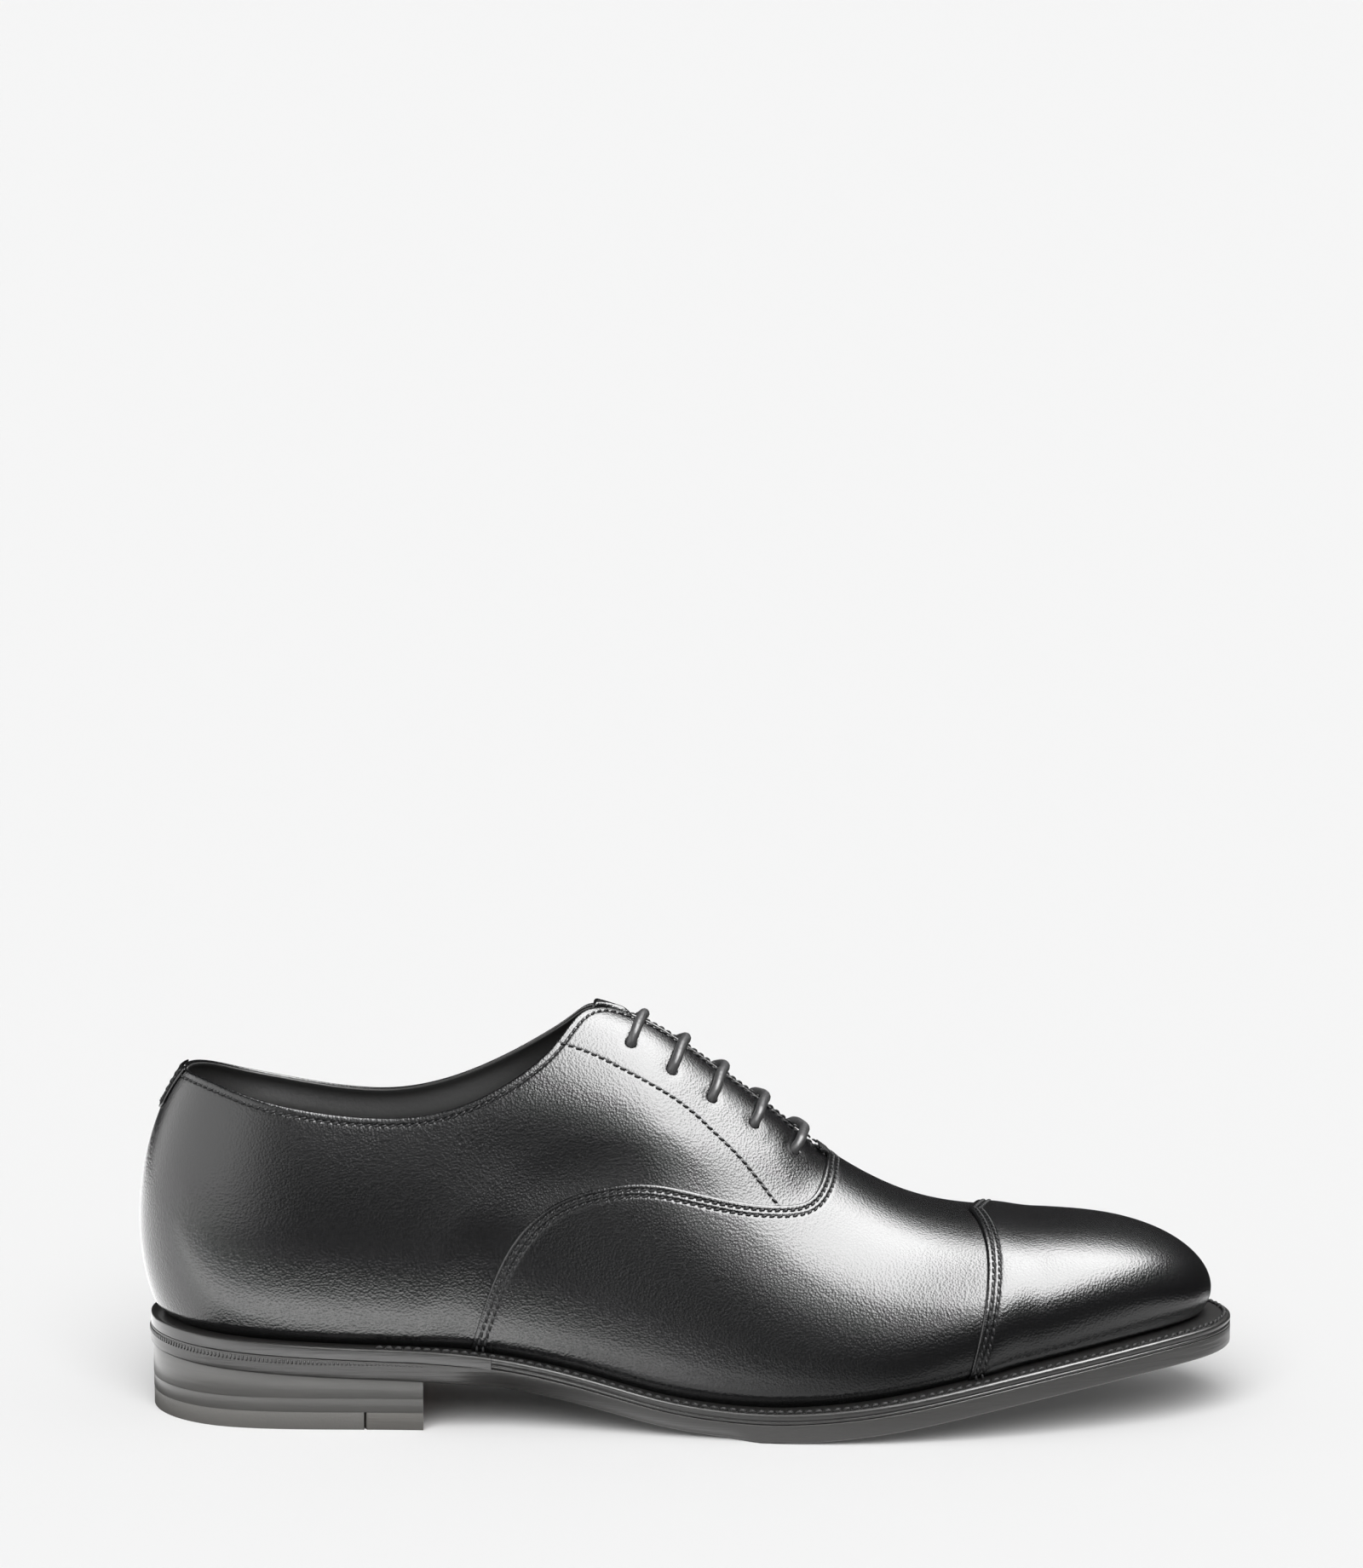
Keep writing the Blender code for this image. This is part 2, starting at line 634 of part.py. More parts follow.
def build_bottom(parts):
    edge = material("sole_edge", SOLE_EDGE, 0.45)
    board = material("insole_leather", TAN, 0.7)
    cork = material("cork", CORK_TAN, 0.9)
    steel = material("steel", STEEL, 0.35, 1.0)
    lining = material("lining_leather", LINING_BLACK, 0.6)
    rear = FLEX_X - FLEX_GAP / 2
    fore = FLEX_X + FLEX_GAP / 2
    plate("outsole_fore", fore, None, fixed_inset(0), sole_top, sole_bottom, parts, edge)
    plate("outsole_rear", None, rear, fixed_inset(0), sole_top, sole_bottom, parts, edge, count=20)
    insole_edge = feather_inset(UPPER_STACK)
    insole_top, insole_floor = below_welt(-INSOLE_RISE - INSOLE), below_welt(-INSOLE_RISE)
    plate("insole_fore", fore, None, insole_edge, insole_top, insole_floor, parts, board, count=10)
    plate("insole_rear", None, rear, insole_edge, insole_top, insole_floor, parts, board, count=16)
    sock_low = -INSOLE_RISE - INSOLE - GAP
    plate("sock_liner", None, SOCK_END_X, feather_inset(UPPER_STACK + 0.8), below_welt(sock_low - SOCK),
          below_welt(sock_low), parts, lining, count=12)
    cork_edge = feather_inset(CORK_INSET)
    cork_top, cork_floor = below_welt(GAP), below_welt(GAP + CORK)
    plate("cork_filler_fore", fore, None, cork_edge, cork_top, cork_floor, parts, cork, count=8)
    plate("cork_filler_rear", CORK_START_X, rear, cork_edge, cork_top, cork_floor, parts, cork, count=4)
    welt_inner = feather_inset(WELT_REACH)
    rib = (feather_inset(RIB_OUTER), feather_inset(RIB_INNER))
    floor = below_welt(WELT)
    ring("welt_fore", fore, fixed_inset(0), welt_inner, below_welt(0), floor, parts, edge)
    ring("insole_rib_fore", fore, *rib, below_welt(0), floor, parts, board, count=10)
    for side, word in ((-1, "lateral"), (1, "medial")):
        ring("welt_waist_" + word, (RAND_END_X + GAP, rear), fixed_inset(0), welt_inner, below_welt(0), floor,
             parts, edge, count=9, sides=(side,))
        ring("insole_rib_" + word, (RAND_END_X + GAP, rear), *rib, below_welt(0), floor, parts, board, 9,
             sides=(side,))
    ring("heel_rand", RAND_END_X, fixed_inset(0), fixed_inset(RAND_WIDTH), below_welt(0), below_welt(RAND),
         parts, edge, count=12, toe=False)
    build_shank(parts, steel)


def build_shank(parts, steel):
    """Sprung steel strip between the insole and the outsole, under the arch."""
    steps = 7
    points = []
    for x in np.linspace(SHANK_START_X, SHANK_END_X, steps + 1):
        centre = (edge_inner(0.3) - edge_outer(0.3)) / 2 * smoothstep(x, 60, 100)
        left, right = centre - SHANK_HALF_WIDTH, centre + SHANK_HALF_WIDTH
        high, low = welt_top(x) - SHANK_TOP, welt_top(x) - SHANK_FLOOR
        points += [(x, left, high), (x, right, high), (x, right, low), (x, left, low)]
    last = 4 * steps
    faces = [(0, 1, 2, 3), (last + 3, last + 2, last + 1, last)]
    for a in range(0, last, 4):
        for k in range(4):
            n = (k + 1) % 4
            faces.append((a + k, a + 4 + k, a + 4 + n, a + n))
    mesh = mesh_from("shank", points, faces)
    return add_object("shank", mesh, parts, steel)


# ------------------------------------------------------------------ heel
def drill(obj, holes):
    for cutter in holes:
        cut = obj.modifiers.new("hole", "BOOLEAN")
        cut.operation = "DIFFERENCE"
        cut.solver = "EXACT"
        cut.object = cutter


def cylinder(name, radius, sides, place, axis, length, collection, mat=None):
    """Closed cylinder centred on a point in millimetres."""
    mesh = bpy.data.meshes.new(name)
    bm = bmesh.new()
    bmesh.ops.create_cone(bm, cap_ends=True, segments=sides, radius1=radius * MM, radius2=radius * MM,
                          depth=length * MM)
    bm.to_mesh(mesh)
    bm.free()
    mesh.shade_smooth()
    mesh.set_sharp_from_angle(angle=math.radians(40))
    obj = add_object(name, mesh, collection, mat)
    turn = Vector(axis).to_track_quat("Z", "Y").to_matrix().to_4x4()
    obj.matrix_world = Matrix.Translation(Vector(to_frame(place))) @ turn
    return obj


def hide_cutter(obj):
    obj.hide_render = True
    obj.display_type = "WIRE"
    return obj


def level(height):
    """A height that is the same all along the shoe."""
    return lambda x: height


def build_heel(parts, cutters):
    stack = material("heel_stack", SOLE_EDGE, 0.45)
    rubber = material("rubber", RUBBER, 0.6)
    steel = material("steel", STEEL, 0.35, 1.0)
    wedge = plate("heel_wedge_lift", None, BREAST_X, fixed_inset(WEDGE_INSET), lambda x: sole_bottom(x) - GAP,
                  level(WEDGE_LOW), parts, stack, count=10, hollow=BREAST_HOLLOW)
    lift = plate("heel_lift", None, BREAST_X, fixed_inset(LIFT_INSET), level(LIFT_HIGH), level(LIFT_LOW),
                 parts, stack, count=10, hollow=BREAST_HOLLOW)
    tip_edge = fixed_inset(TIP_INSET)
    plate("top_piece_rubber", None, TIP_JOINT_X - GAP / 2, tip_edge, level(TOP_PIECE), level(0),
          parts, rubber, count=10)
    plate("top_piece_leather", TIP_JOINT_X + GAP / 2, BREAST_X, tip_edge, level(TOP_PIECE), level(0),
          parts, stack, count=3, hollow=BREAST_HOLLOW)
    holes = []
    for number, (x, y) in enumerate(NAIL_PLACES, 1):
        high = sole_bottom(x) - NAIL_BELOW_SOLE
        low = LIFT_LOW + 0.2
        middle = (x, y, (low + high) / 2)
        cylinder("heel_nail_%d" % number, NAIL_RADIUS, 10, middle, UP, high - low, parts, steel)
        hole = cylinder("nail_hole_%d" % number, NAIL_RADIUS + NAIL_PLAY, 10, middle, UP, 24, cutters)
        holes.append(hide_cutter(hole))
    drill(wedge, holes)
    drill(lift, holes)


# ------------------------------------------------------------------ lacing
def eyelet_ring(name, centre, axis, collection, mat):
    """Blind eyelet: a flat turned ring on the inside of the facing."""
    half = EYELET_HEIGHT / 2 * MM
    inner = (HOLE_RADIUS + 0.1) * MM
    outer = EYELET_OUTER * MM
    mesh = bpy.data.meshes.new(name)
    profile = [(outer, 0, half), (outer, 0, -half), (inner, 0, -half), (inner, 0, half)]
    mesh.from_pydata(profile, [(0, 1), (1, 2), (2, 3), (3, 0)], [])
    obj = add_object(name, mesh, collection, mat)
    screw = obj.modifiers.new("turn", "SCREW")
    screw.steps = 8
    screw.render_steps = 8
    screw.use_merge_vertices = True
    screw.merge_threshold = 0.00001
    turn = Vector(axis).to_track_quat("Z", "Y").to_matrix().to_4x4()
    obj.matrix_world = Matrix.Translation(Vector(to_frame(centre))) @ turn
    return obj


def lace_bar(number, start_side):
    """Points of one bar: up through one eyelet, over the ridge and down the other."""
    u, v = EYELETS[number]
    points = [(u, v, start_side, LACE_UNDER - LACE_RADIUS), (u, v, start_side, 1.0)]
    for up, depth in BAR_RISE:
        lean = BAR_LEAN * (1 - ((1 - v - up) / (1 - v)) ** 2)
        points.append((u + lean, v + up, start_side, depth))
    ridge = [(u + BAR_LEAN, 0.999, start_side, LACE_OVER)]
    down = [(p[0], p[1], -start_side, p[3]) for p in reversed(points)]
    return points + ridge + down


def hidden_run(first, second, side, shift):
    """Run under the facing from one eyelet to another on the same side."""
    u0, v0 = EYELETS[first]
    u1, v1 = EYELETS[second]
    points = []
    for share in (0.1, 0.35, 0.65, 0.9):
        middle = 1 - abs(2 * share - 1) ** 3
        points.append((u0 + (u1 - u0) * share, v0 + (v1 - v0) * share + shift * middle, side, LACE_UNDER))
    return points


def tail(number, side):
    """Loose end tucked down between the lining and the tongue's edge."""
    u, v = EYELETS[number]
    return [(u + along, v + down, side, LACE_UNDER) for along, down in TAIL_STEPS]


def lace_route():
    route = list(reversed(tail(3, -1)))
    route += lace_bar(3, -1)
    route += hidden_run(3, 1, 1, -0.055)
    route += lace_bar(1, 1)
    route += hidden_run(1, 0, -1, 0.0)
    route += lace_bar(0, -1)
    route += hidden_run(0, 2, 1, 0.045)
    route += lace_bar(2, 1)
    route += hidden_run(2, 4, -1, 0.045)
    route += lace_bar(4, -1)
    route += tail(4, 1)
    return route


def build_lacing(parts, cutters, upper):
    cord = material("waxed_cord", BLACK_CALF, 0.4)
    brass = material("brass", BRASS, 0.3, 1.0)
    points = [last_point(u, v, side, depth) for u, v, side, depth in lace_route()]
    curve = bpy.data.curves.new("lace", "CURVE")
    curve.dimensions = "3D"
    curve.bevel_depth = LACE_RADIUS * MM
    curve.bevel_resolution = 1
    curve.use_fill_caps = True
    line = curve.splines.new("POLY")
    line.points.add(len(points) - 1)
    for point, p in zip(line.points, points):
        point.co = (*to_frame(p), 1)
    curve.materials.append(cord)
    lace = bpy.data.objects.new("lace", curve)
    parts.objects.link(lace)
    for number, (end, before) in enumerate(((points[0], points[1]), (points[-1], points[-2])), 1):
        along = (end - before) / np.linalg.norm(end - before)
        middle = end + along * (TIP_LENGTH / 2 + GAP)
        cylinder("lace_tip_%d" % number, TIP_RADIUS, 8, middle, along, TIP_LENGTH, parts, brass)
    for side, word in ((-1, "lateral"), (1, "medial")):
        holes = []
        for number, (u, v) in enumerate(EYELETS, 1):
            axis = surface_normal(u, v, side)
            centre = last_point(u, v, side, 1.5)
            hole = cylinder("eyelet_hole_%s_%d" % (word, number), HOLE_RADIUS, 8, centre, axis, 7, cutters)
            holes.append(hide_cutter(hole))
            seat = last_point(u, v, side, EYELET_DEPTH + EYELET_HEIGHT / 2)
            eyelet_ring("eyelet_%s_%d" % (word, number), seat, axis, parts, brass)
        for name in ("quarter_", "facing_stay_", "quarter_lining_"):
            drill(upper[name + word], holes)


def main():
    for obj in list(bpy.data.objects):
        bpy.data.objects.remove(obj, do_unlink=True)
    parts = bpy.data.collections.new("oxford_shoe")
    cutters = bpy.data.collections.new("cutters")
    bpy.context.scene.collection.children.link(parts)
    bpy.context.scene.collection.children.link(cutters)
    upper = build_upper(parts)
    build_bottom(parts)
    build_heel(parts, cutters)
    build_lacing(parts, cutters, upper)


main()
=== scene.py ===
"""Black cap-toe oxford: the looks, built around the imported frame.

Lengths are in millimetres, counted from the back of the outsole, and become metres in the
frame's own axes in place().  The upper is one smooth skin, skin(u, w): u runs from the heel
back (0) to the toe tip (1) and w from the outer feather (0) over the ridge (1) to the inner
feather (2).  It is the same last as the CAD model's, sampled more finely.
"""
import math

import bmesh
import bpy
import numpy as np
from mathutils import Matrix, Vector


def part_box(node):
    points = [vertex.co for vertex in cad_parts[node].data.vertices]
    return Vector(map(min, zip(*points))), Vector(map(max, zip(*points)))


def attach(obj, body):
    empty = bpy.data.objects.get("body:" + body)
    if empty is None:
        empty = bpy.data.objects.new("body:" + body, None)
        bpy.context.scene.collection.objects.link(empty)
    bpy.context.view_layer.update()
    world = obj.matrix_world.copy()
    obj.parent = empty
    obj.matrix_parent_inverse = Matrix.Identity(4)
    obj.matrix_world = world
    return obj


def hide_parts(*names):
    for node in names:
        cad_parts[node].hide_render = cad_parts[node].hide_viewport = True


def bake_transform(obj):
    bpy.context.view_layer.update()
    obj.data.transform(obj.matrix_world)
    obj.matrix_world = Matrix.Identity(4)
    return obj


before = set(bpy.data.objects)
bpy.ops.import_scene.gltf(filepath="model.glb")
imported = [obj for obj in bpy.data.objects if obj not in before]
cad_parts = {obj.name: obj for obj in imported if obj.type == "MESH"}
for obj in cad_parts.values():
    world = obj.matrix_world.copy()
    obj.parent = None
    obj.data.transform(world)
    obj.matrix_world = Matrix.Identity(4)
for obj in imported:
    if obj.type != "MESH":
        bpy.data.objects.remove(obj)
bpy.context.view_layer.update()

# ---- scale and place of the last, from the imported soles
LAST_LENGTH = 301.5
BACK_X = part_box("outsole_rear")[0].x
MM = (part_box("outsole_fore")[1].x - BACK_X) / LAST_LENGTH

# ---- the last: length from the back, outer half width, inner half width, spine length
STATIONS = (
    (0.0, 0.0, 0.0, 44), (4.5, 16.0, 16.0, 46), (16, 27.2, 26.8, 50), (35, 32.5, 31.5, 58),
    (60, 33.5, 31.5, 71), (90, 35.0, 28.5, 95), (120, 38.5, 28.5, 124), (150, 43.8, 36.0, 153),
    (180, 48.0, 47.0, 181), (205, 48.5, 53.2, 205), (230, 45.3, 51.3, 226), (252, 39.5, 44.5, 241),
    (272, 31.5, 35.5, 252), (288, 21.5, 25.5, 259), (297, 12.0, 16.0, 262), (301.5, -2.0, 2.0, 263),
)
# ---- section handles there: feather inset, lower handle out and up, upper handle out and down
HANDLES = (
    (2.2, 14.9, 33.3, 37.2, -6.5), (2.2, 12.5, 32.5, 34.0, -5.0), (2.2, 9.2, 31.0, 29.0, -2.0),
    (2.4, 7.5, 29.0, 25.0, 1.0), (2.8, 6.0, 28.0, 24.0, 3.0), (3.2, 5.0, 30.0, 23.0, 3.0),
    (3.6, 3.5, 34.0, 23.5, 3.0), (4.6, 3.0, 35.0, 22.5, 1.0), (5.8, 3.5, 28.5, 22.5, 0.0),
    (6.2, 4.5, 24.0, 26.0, 0.0), (6.4, 6.2, 22.5, 30.0, 0.0), (6.6, 6.9, 20.5, 31.0, 0.0),
    (7.0, 7.8, 17.5, 30.0, 0.0), (7.6, 9.0, 13.5, 27.5, 0.2), (8.4, 10.0, 10.8, 25.5, 0.4),
    (8.8, 10.4, 10.3, 25.0, 0.5),
)
INNER_EXTRA = {             # what the inner side's handles have more, by station
    7: (0, 0.5, -1, 2, 0), 8: (0, 1.0, -1, 3, 0), 9: (0, 1.0, 0, 3.5, 0), 10: (0, 0.2, 0, 2.5, 0),
}
# ---- the ridge's height along the spine, and its swing to the inner side at the toe
SPINE = (
    (44, 115.5), (71, 119), (100, 118), (126.5, 112.4), (141, 106.6), (155, 96.9), (169.4, 86.0),
    (183.6, 74.3), (198, 64.5), (212, 57.6), (226.4, 54.0), (245, 52.8), (263, 52.0),
)
SPINE_SWING = 2.0
SWING_START = 150
SWING_LENGTH = 110
WELT_TOP = (
    (0, 26.4), (30, 24.5), (60, 22.9), (92, 21.2), (111, 18.2), (127, 14.5), (143, 10.7), (157, 8.8),
    (171, 8.1), (184, 8.6), (208, 11.6), (224, 14.6), (238, 17.3), (261, 21.1), (284, 23.8), (301, 24.6),
)
FEATHER_GAP = 0.3             # between the welt's top face and the upper's foot

# ---- panel edges as (u, v), v being the height share on one side
VAMP_EDGE = (
    (0.3155, 0), (0.3295, 0.15), (0.3475, 0.27), (0.3815, 0.372), (0.4175, 0.424), (0.4575, 0.460),
    (0.5145, 0.494), (0.5455, 0.523), (0.5725, 0.568), (0.5915, 0.625), (0.6025, 0.71), (0.6085, 0.83),
    (0.6105, 1),
)
CAP_EDGE = ((0.7265, 0), (0.7335, 0.2), (0.7385, 0.45), (0.7415, 0.7), (0.7425, 0.9), (0.7425, 1))
TOPLINE_OUTER = (
    (0, 0.611), (0.030, 0.609), (0.068, 0.594), (0.108, 0.566), (0.160, 0.547), (0.2135, 0.540),
    (0.2675, 0.544), (0.2985, 0.564), (0.3285, 0.606), (0.3575, 0.674), (0.3775, 0.755), (0.3975, 0.905),
)
TOPLINE_INNER = (
    (0, 0.611), (0.030, 0.606), (0.060, 0.583), (0.086, 0.560), (0.130, 0.535), (0.183, 0.524),
    (0.235, 0.526), (0.282, 0.556), (0.328, 0.623), (0.360, 0.700), (0.382, 0.780), (0.400, 0.905),
)
FACING_STITCH = (
    (0.3805, 0.764), (0.4065, 0.753), (0.4365, 0.728), (0.4655, 0.711), (0.4955, 0.695), (0.5155, 0.670),
    (0.5355, 0.642), (0.5555, 0.601), (0.5725, 0.561),
)
FACING_EDGE_V = 0.986
FACING_TOP_U = 0.4065
FACING_END_U = 0.607          # the facing's edge goes under the vamp here
EYELETS = ((0.4392, 0.827), (0.4752, 0.797), (0.5102, 0.787), (0.5472, 0.798), (0.5822, 0.826))
UV_SCALE = np.array([345.0, 105.0])     # rough millimetres per unit of u and v

# ---- leather and thread
LEATHER = 1.05
CAP_RAISE = 0.95              # the cap stands this much proud of the vamp at its edge
VAMP_RAISE = 0.05
QUARTER_DIP = 1.05            # the quarters dip this much to go under the vamp
DIP_REACH = 17.0
HOLLOW_CENTRE = (112.0, 73.0)     # x and z of the shallow hollow at the waist of each quarter
HOLLOW_REACH = (42.0, 19.0)
HOLLOW_DEPTH = 1.5
LAP = 4.0                     # how far the lower panel carries on under the upper one
LINING = 0.8
LINING_TOP = 1.1              # depth of the lining where it meets the topline
LINING_DEEP = 4.2             # over the counter and the toe puff
LINING_WAIST = 2.8            # between them
TUCK = 2.2                    # the leather turns this far in under itself at the feather
TUCK_HEIGHT = 0.038
STITCH_PITCH = 2.2
THREAD = 0.37
ROWS_IN = (1.15, 2.8)         # the two rows of a lap seam, from the panel's edge
TOPLINE_ROW = 1.6
ROW_SINK = 0.16               # how deep a row of stitches pulls the leather in
ROW_WIDTH = 0.45              # over what width
SINGLE_ROW = 0.6              # a single row sinks this share of a double one
TACK_U = 0.600                # the bar tack's first stitch, its step and its reach past the ridge
TACK_STEP = 0.0016
TACK_REACH = 0.045
TACK_COUNT = 5
TACK_LIFT = 0.35
RIM_STEPS = 4                 # facets of the half-round edge of every panel
NOSE_EASE = 1.12              # spreads the columns a little towards the toe's tip
TONGUE_DEEP = 8.7             # below the skin under the lacing
TONGUE_PROUD = 1.1            # above it at the top end
TONGUE_TOP_U = 0.405
TONGUE_FOOT_U = 0.622
TONGUE_THICKNESS = 1.5
STRIP_HEIGHT = 0.6            # the back strip stands this much proud of the quarters
STRIP_TOP_V = 0.612
STRIP_FOOT_V = 0.497
STRIP_ROW_IN = 0.0045         # the side rows' distance from its edges, in u

# ---- lace and eyelets
LACE_RADIUS = 1.42
HOLE_RADIUS = 1.85
EYELET_DEPTH = 4.8
EYELET_OUTER = 3.4
DIMPLE_DEPTH = 0.12
DIMPLE_WIDTH = 1.3
LACE_OVER = -1.3
LACE_UNDER = 7.2
BEND_ROOM = 1.3               # the cord turns into its eyelet this much above its hidden run
BAR_LEAN = 0.0035
INNER_BOW = 0.004             # the bars bow this far to the toe on the inner side
TAIL_STEPS = ((-0.002, -0.03), (-0.014, -0.075), (-0.032, -0.11), (-0.054, -0.13), (-0.077, -0.14))
BRAID = 0.05                  # height of the cord's braid
BRAID_TURN = 4.2              # its length per turn
BRAID_LOBES = 6               # its strands each way round

# ---- bottom, below the top face of the welt
RAND_END_X = 96.0
SOLE_TOP_FORE = 2.95
SOLE_TOP_REAR = 3.45
SOLE_BOTTOM_FORE = 8.05
SOLE_BOTTOM_REAR = 8.6
BREAST_X = 77.3
BREAST_HOLLOW = 7.0
TIP_JOINT_X = 61.0
WEDGE_LOW = 8.83
LIFT_LOW = 4.9
WELT_STITCH_PITCH = 2.6
WELT_STITCH_X = 64.0          # where the welt's row starts
WELT_STITCH_IN = 1.75         # its distance from the edge
WHEEL_X = 78.0                # where the wheeling round the heel ends
WHEEL_PITCH = 1.15
WHEEL_DOWN = 3.95
WHEEL_HEIGHT = 1.5
WHEEL_SINK = 0.16
LIFT_SOFT = 0.04              # rounding and gaps of the heel's layers
LIFT_GAP = 0.02
WEDGE_IN = 0.6
LIFT_IN = 0.66
TIP_IN = 0.72
TIP_SOFT = 0.1
FOLD_IN = 1.5                 # where a layer's flat faces start, in from its edge
BREAST_LEAN = 0.3
SOLE_MIDDLE = (27, 262)       # from and to x, the line each flat piece's faces fold to
INSOLE_MIDDLE = (32, 252)
SOCK_MIDDLE = (30, 74)
TIP_MIDDLE = (TIP_JOINT_X + 3.5, TIP_JOINT_X + 4.5)
INSOLE_IN = 5.5               # further in than the feather
SOCK_IN = 6.3
SOCK_END_X = 95
WAIST_BEVEL = 3.0
SOLE_TOP_SOFT = 0.25          # height of the edge's rounded corners
SOLE_BOTTOM_SOFT = 0.6


# ------------------------------------------------------------------ curves
def spline(knots, values, start_slope=None, end_slope=None):
    """Cubic spline through values at knots; a slope left as None leaves that end free."""
    knots = np.asarray(knots, float)
    values = np.asarray(values, float)
    count = len(knots)
    step = np.diff(knots)
    rise = np.diff(values) / step
    matrix = np.zeros((count, count))
    right = np.zeros(count)
    matrix[0, :2] = (2, 1) if start_slope is None else (1, 0)
    right[0] = 3 * rise[0] if start_slope is None else start_slope
    matrix[-1, -2:] = (1, 2) if end_slope is None else (0, 1)
    right[-1] = 3 * rise[-1] if end_slope is None else end_slope
    for i in range(1, count - 1):
        matrix[i, i - 1:i + 2] = (step[i], 2 * (step[i - 1] + step[i]), step[i - 1])
        right[i] = 3 * (step[i] * rise[i - 1] + step[i - 1] * rise[i])
    slope = np.linalg.solve(matrix, right)

    def value(t):
        t = np.asarray(t, float)
        i = np.clip(np.searchsorted(knots, t, side="right") - 1, 0, count - 2)
        s = (t - knots[i]) / step[i]
        return ((1 + 2 * s) * (1 - s) ** 2 * values[i] + s * (1 - s) ** 2 * step[i] * slope[i]
                + s * s * (3 - 2 * s) * values[i + 1] + s * s * (s - 1) * step[i] * slope[i + 1])
    return value


def smoothstep(value, low, high):
    t = np.clip((value - low) / (high - low), 0, 1)
    return t * t * (3 - 2 * t)


def unit(vectors):
    return vectors / np.linalg.norm(vectors, axis=-1, keepdims=True)


def station_knots():
    rows = np.array(STATIONS)
    outer = np.hypot(np.diff(rows[:, 0]), np.diff(rows[:, 1]))
    inner = np.hypot(np.diff(rows[:, 0]), np.diff(rows[:, 2]))
    knots = np.concatenate([[0], np.cumsum(outer + inner)])
    return knots / knots[-1]


KNOTS = station_knots()
edge_x = spline(KNOTS, [s[0] for s in STATIONS], 0, 0)
edge_outer = spline(KNOTS, [s[1] for s in STATIONS])
edge_inner = spline(KNOTS, [s[2] for s in STATIONS])
spine_x = spline(KNOTS, [s[3] for s in STATIONS], 0, 0)
spine_z = spline([p[0] for p in SPINE], [p[1] for p in SPINE])
welt_top = spline([p[0] for p in WELT_TOP], [p[1] for p in WELT_TOP])


def handle_splines(extra):
    rows = np.array(HANDLES, float)
    for station, more in extra.items():
        rows[station] += more
    return [spline(KNOTS, rows[:, k], 0, 0) for k in range(5)]


outer_handles = handle_splines({})
inner_handles = handle_splines(INNER_EXTRA)


def sole_edge(u, side):
    return np.stack([edge_x(u), np.where(side < 0, -edge_outer(u), edge_inner(u))], axis=-1)


def outward(u, side):
    """Level unit vector that points out of the outline."""
    u = np.clip(u, 1e-4, 1 - 1e-4)
    along = sole_edge(u + 1e-4, side) - sole_edge(u - 1e-4, side)
    return unit(np.stack([-along[..., 1], along[..., 0]], axis=-1)) * np.asarray(side)[..., None]


def surface(u, v, side):
    u, v, side = np.broadcast_arrays(np.asarray(u, float), np.asarray(v, float), np.asarray(side))
    handles = [np.where(side < 0, outer(u), inner(u))[..., None]
               for outer, inner in zip(outer_handles, inner_handles)]
    inset, low_out, low_up, high_out, high_down = handles
    level = outward(u, side)
    foot = sole_edge(u, side) - level * inset
    start = np.concatenate([foot, (welt_top(foot[..., 0]) + FEATHER_GAP)[..., None]], axis=-1)
    top_x = spine_x(u)
    slope = (spine_z(top_x + 0.5) - spine_z(top_x - 0.5))[..., None]
    swing = SPINE_SWING * np.clip((top_x - SWING_START) / SWING_LENGTH, 0, 1)
    end = np.stack([top_x, swing, spine_z(top_x)], axis=-1)
    out = np.concatenate([level, np.zeros_like(inset)], axis=-1)
    up = np.array([0.0, 0.0, 1.0])
    low = start + out * low_out + up * low_up
    high = end + out * high_out + up * (slope * level[..., :1] * high_out - high_down)
    v = v[..., None]
    return (1 - v) ** 3 * start + 3 * v * (1 - v) ** 2 * low + 3 * v * v * (1 - v) * high + v ** 3 * end


def skin(u, w):
    """Point of the upper; w runs from the outer feather (0) over the ridge (1) to the inner one (2)."""
    u, w = np.broadcast_arrays(np.asarray(u, float), np.asarray(w, float))
    return surface(u, np.where(w <= 1, w, 2 - w), np.where(w <= 1, -1, 1))


def skin_normal(u, w):
    u, w = np.broadcast_arrays(np.asarray(u, float), np.asarray(w, float))
    along = skin(np.minimum(u + 2e-3, 1), w) - skin(np.maximum(u - 2e-3, 0), w)
    across = skin(u, np.minimum(w + 3e-3, 2)) - skin(u, np.maximum(w - 3e-3, 0))
    return unit(np.cross(along, across))


def uv_curve(points):
    """Smooth curve through (u, v) points; t runs 0 to 1 by length."""
    pts = np.array(points, float)
    length = np.concatenate([[0], np.cumsum(np.hypot(*((np.diff(pts, axis=0) * UV_SCALE).T)))])
    length /= length[-1]
    u_of = spline(length, pts[:, 0])
    v_of = spline(length, pts[:, 1])
    return lambda t: np.stack([u_of(t), v_of(t)], axis=-1)


def side_w(v, side):
    return v if side < 0 else 2 - v


def resample(points, places):
    """Points at distances along a polyline of 3-D points; further columns are carried along."""
    length = path_length(points)
    return np.stack([np.interp(places, length, points[:, k]) for k in range(points.shape[1])], axis=1)


def path_length(points):
    return np.concatenate([[0], np.cumsum(np.linalg.norm(np.diff(points[:, :3], axis=0), axis=1))])


def trace(curve_uw):
    """Dense (x, y, z, u, w) rows along a curve given as (u, w) rows."""
    return np.concatenate([skin(curve_uw[:, 0], curve_uw[:, 1]), curve_uw], axis=1)


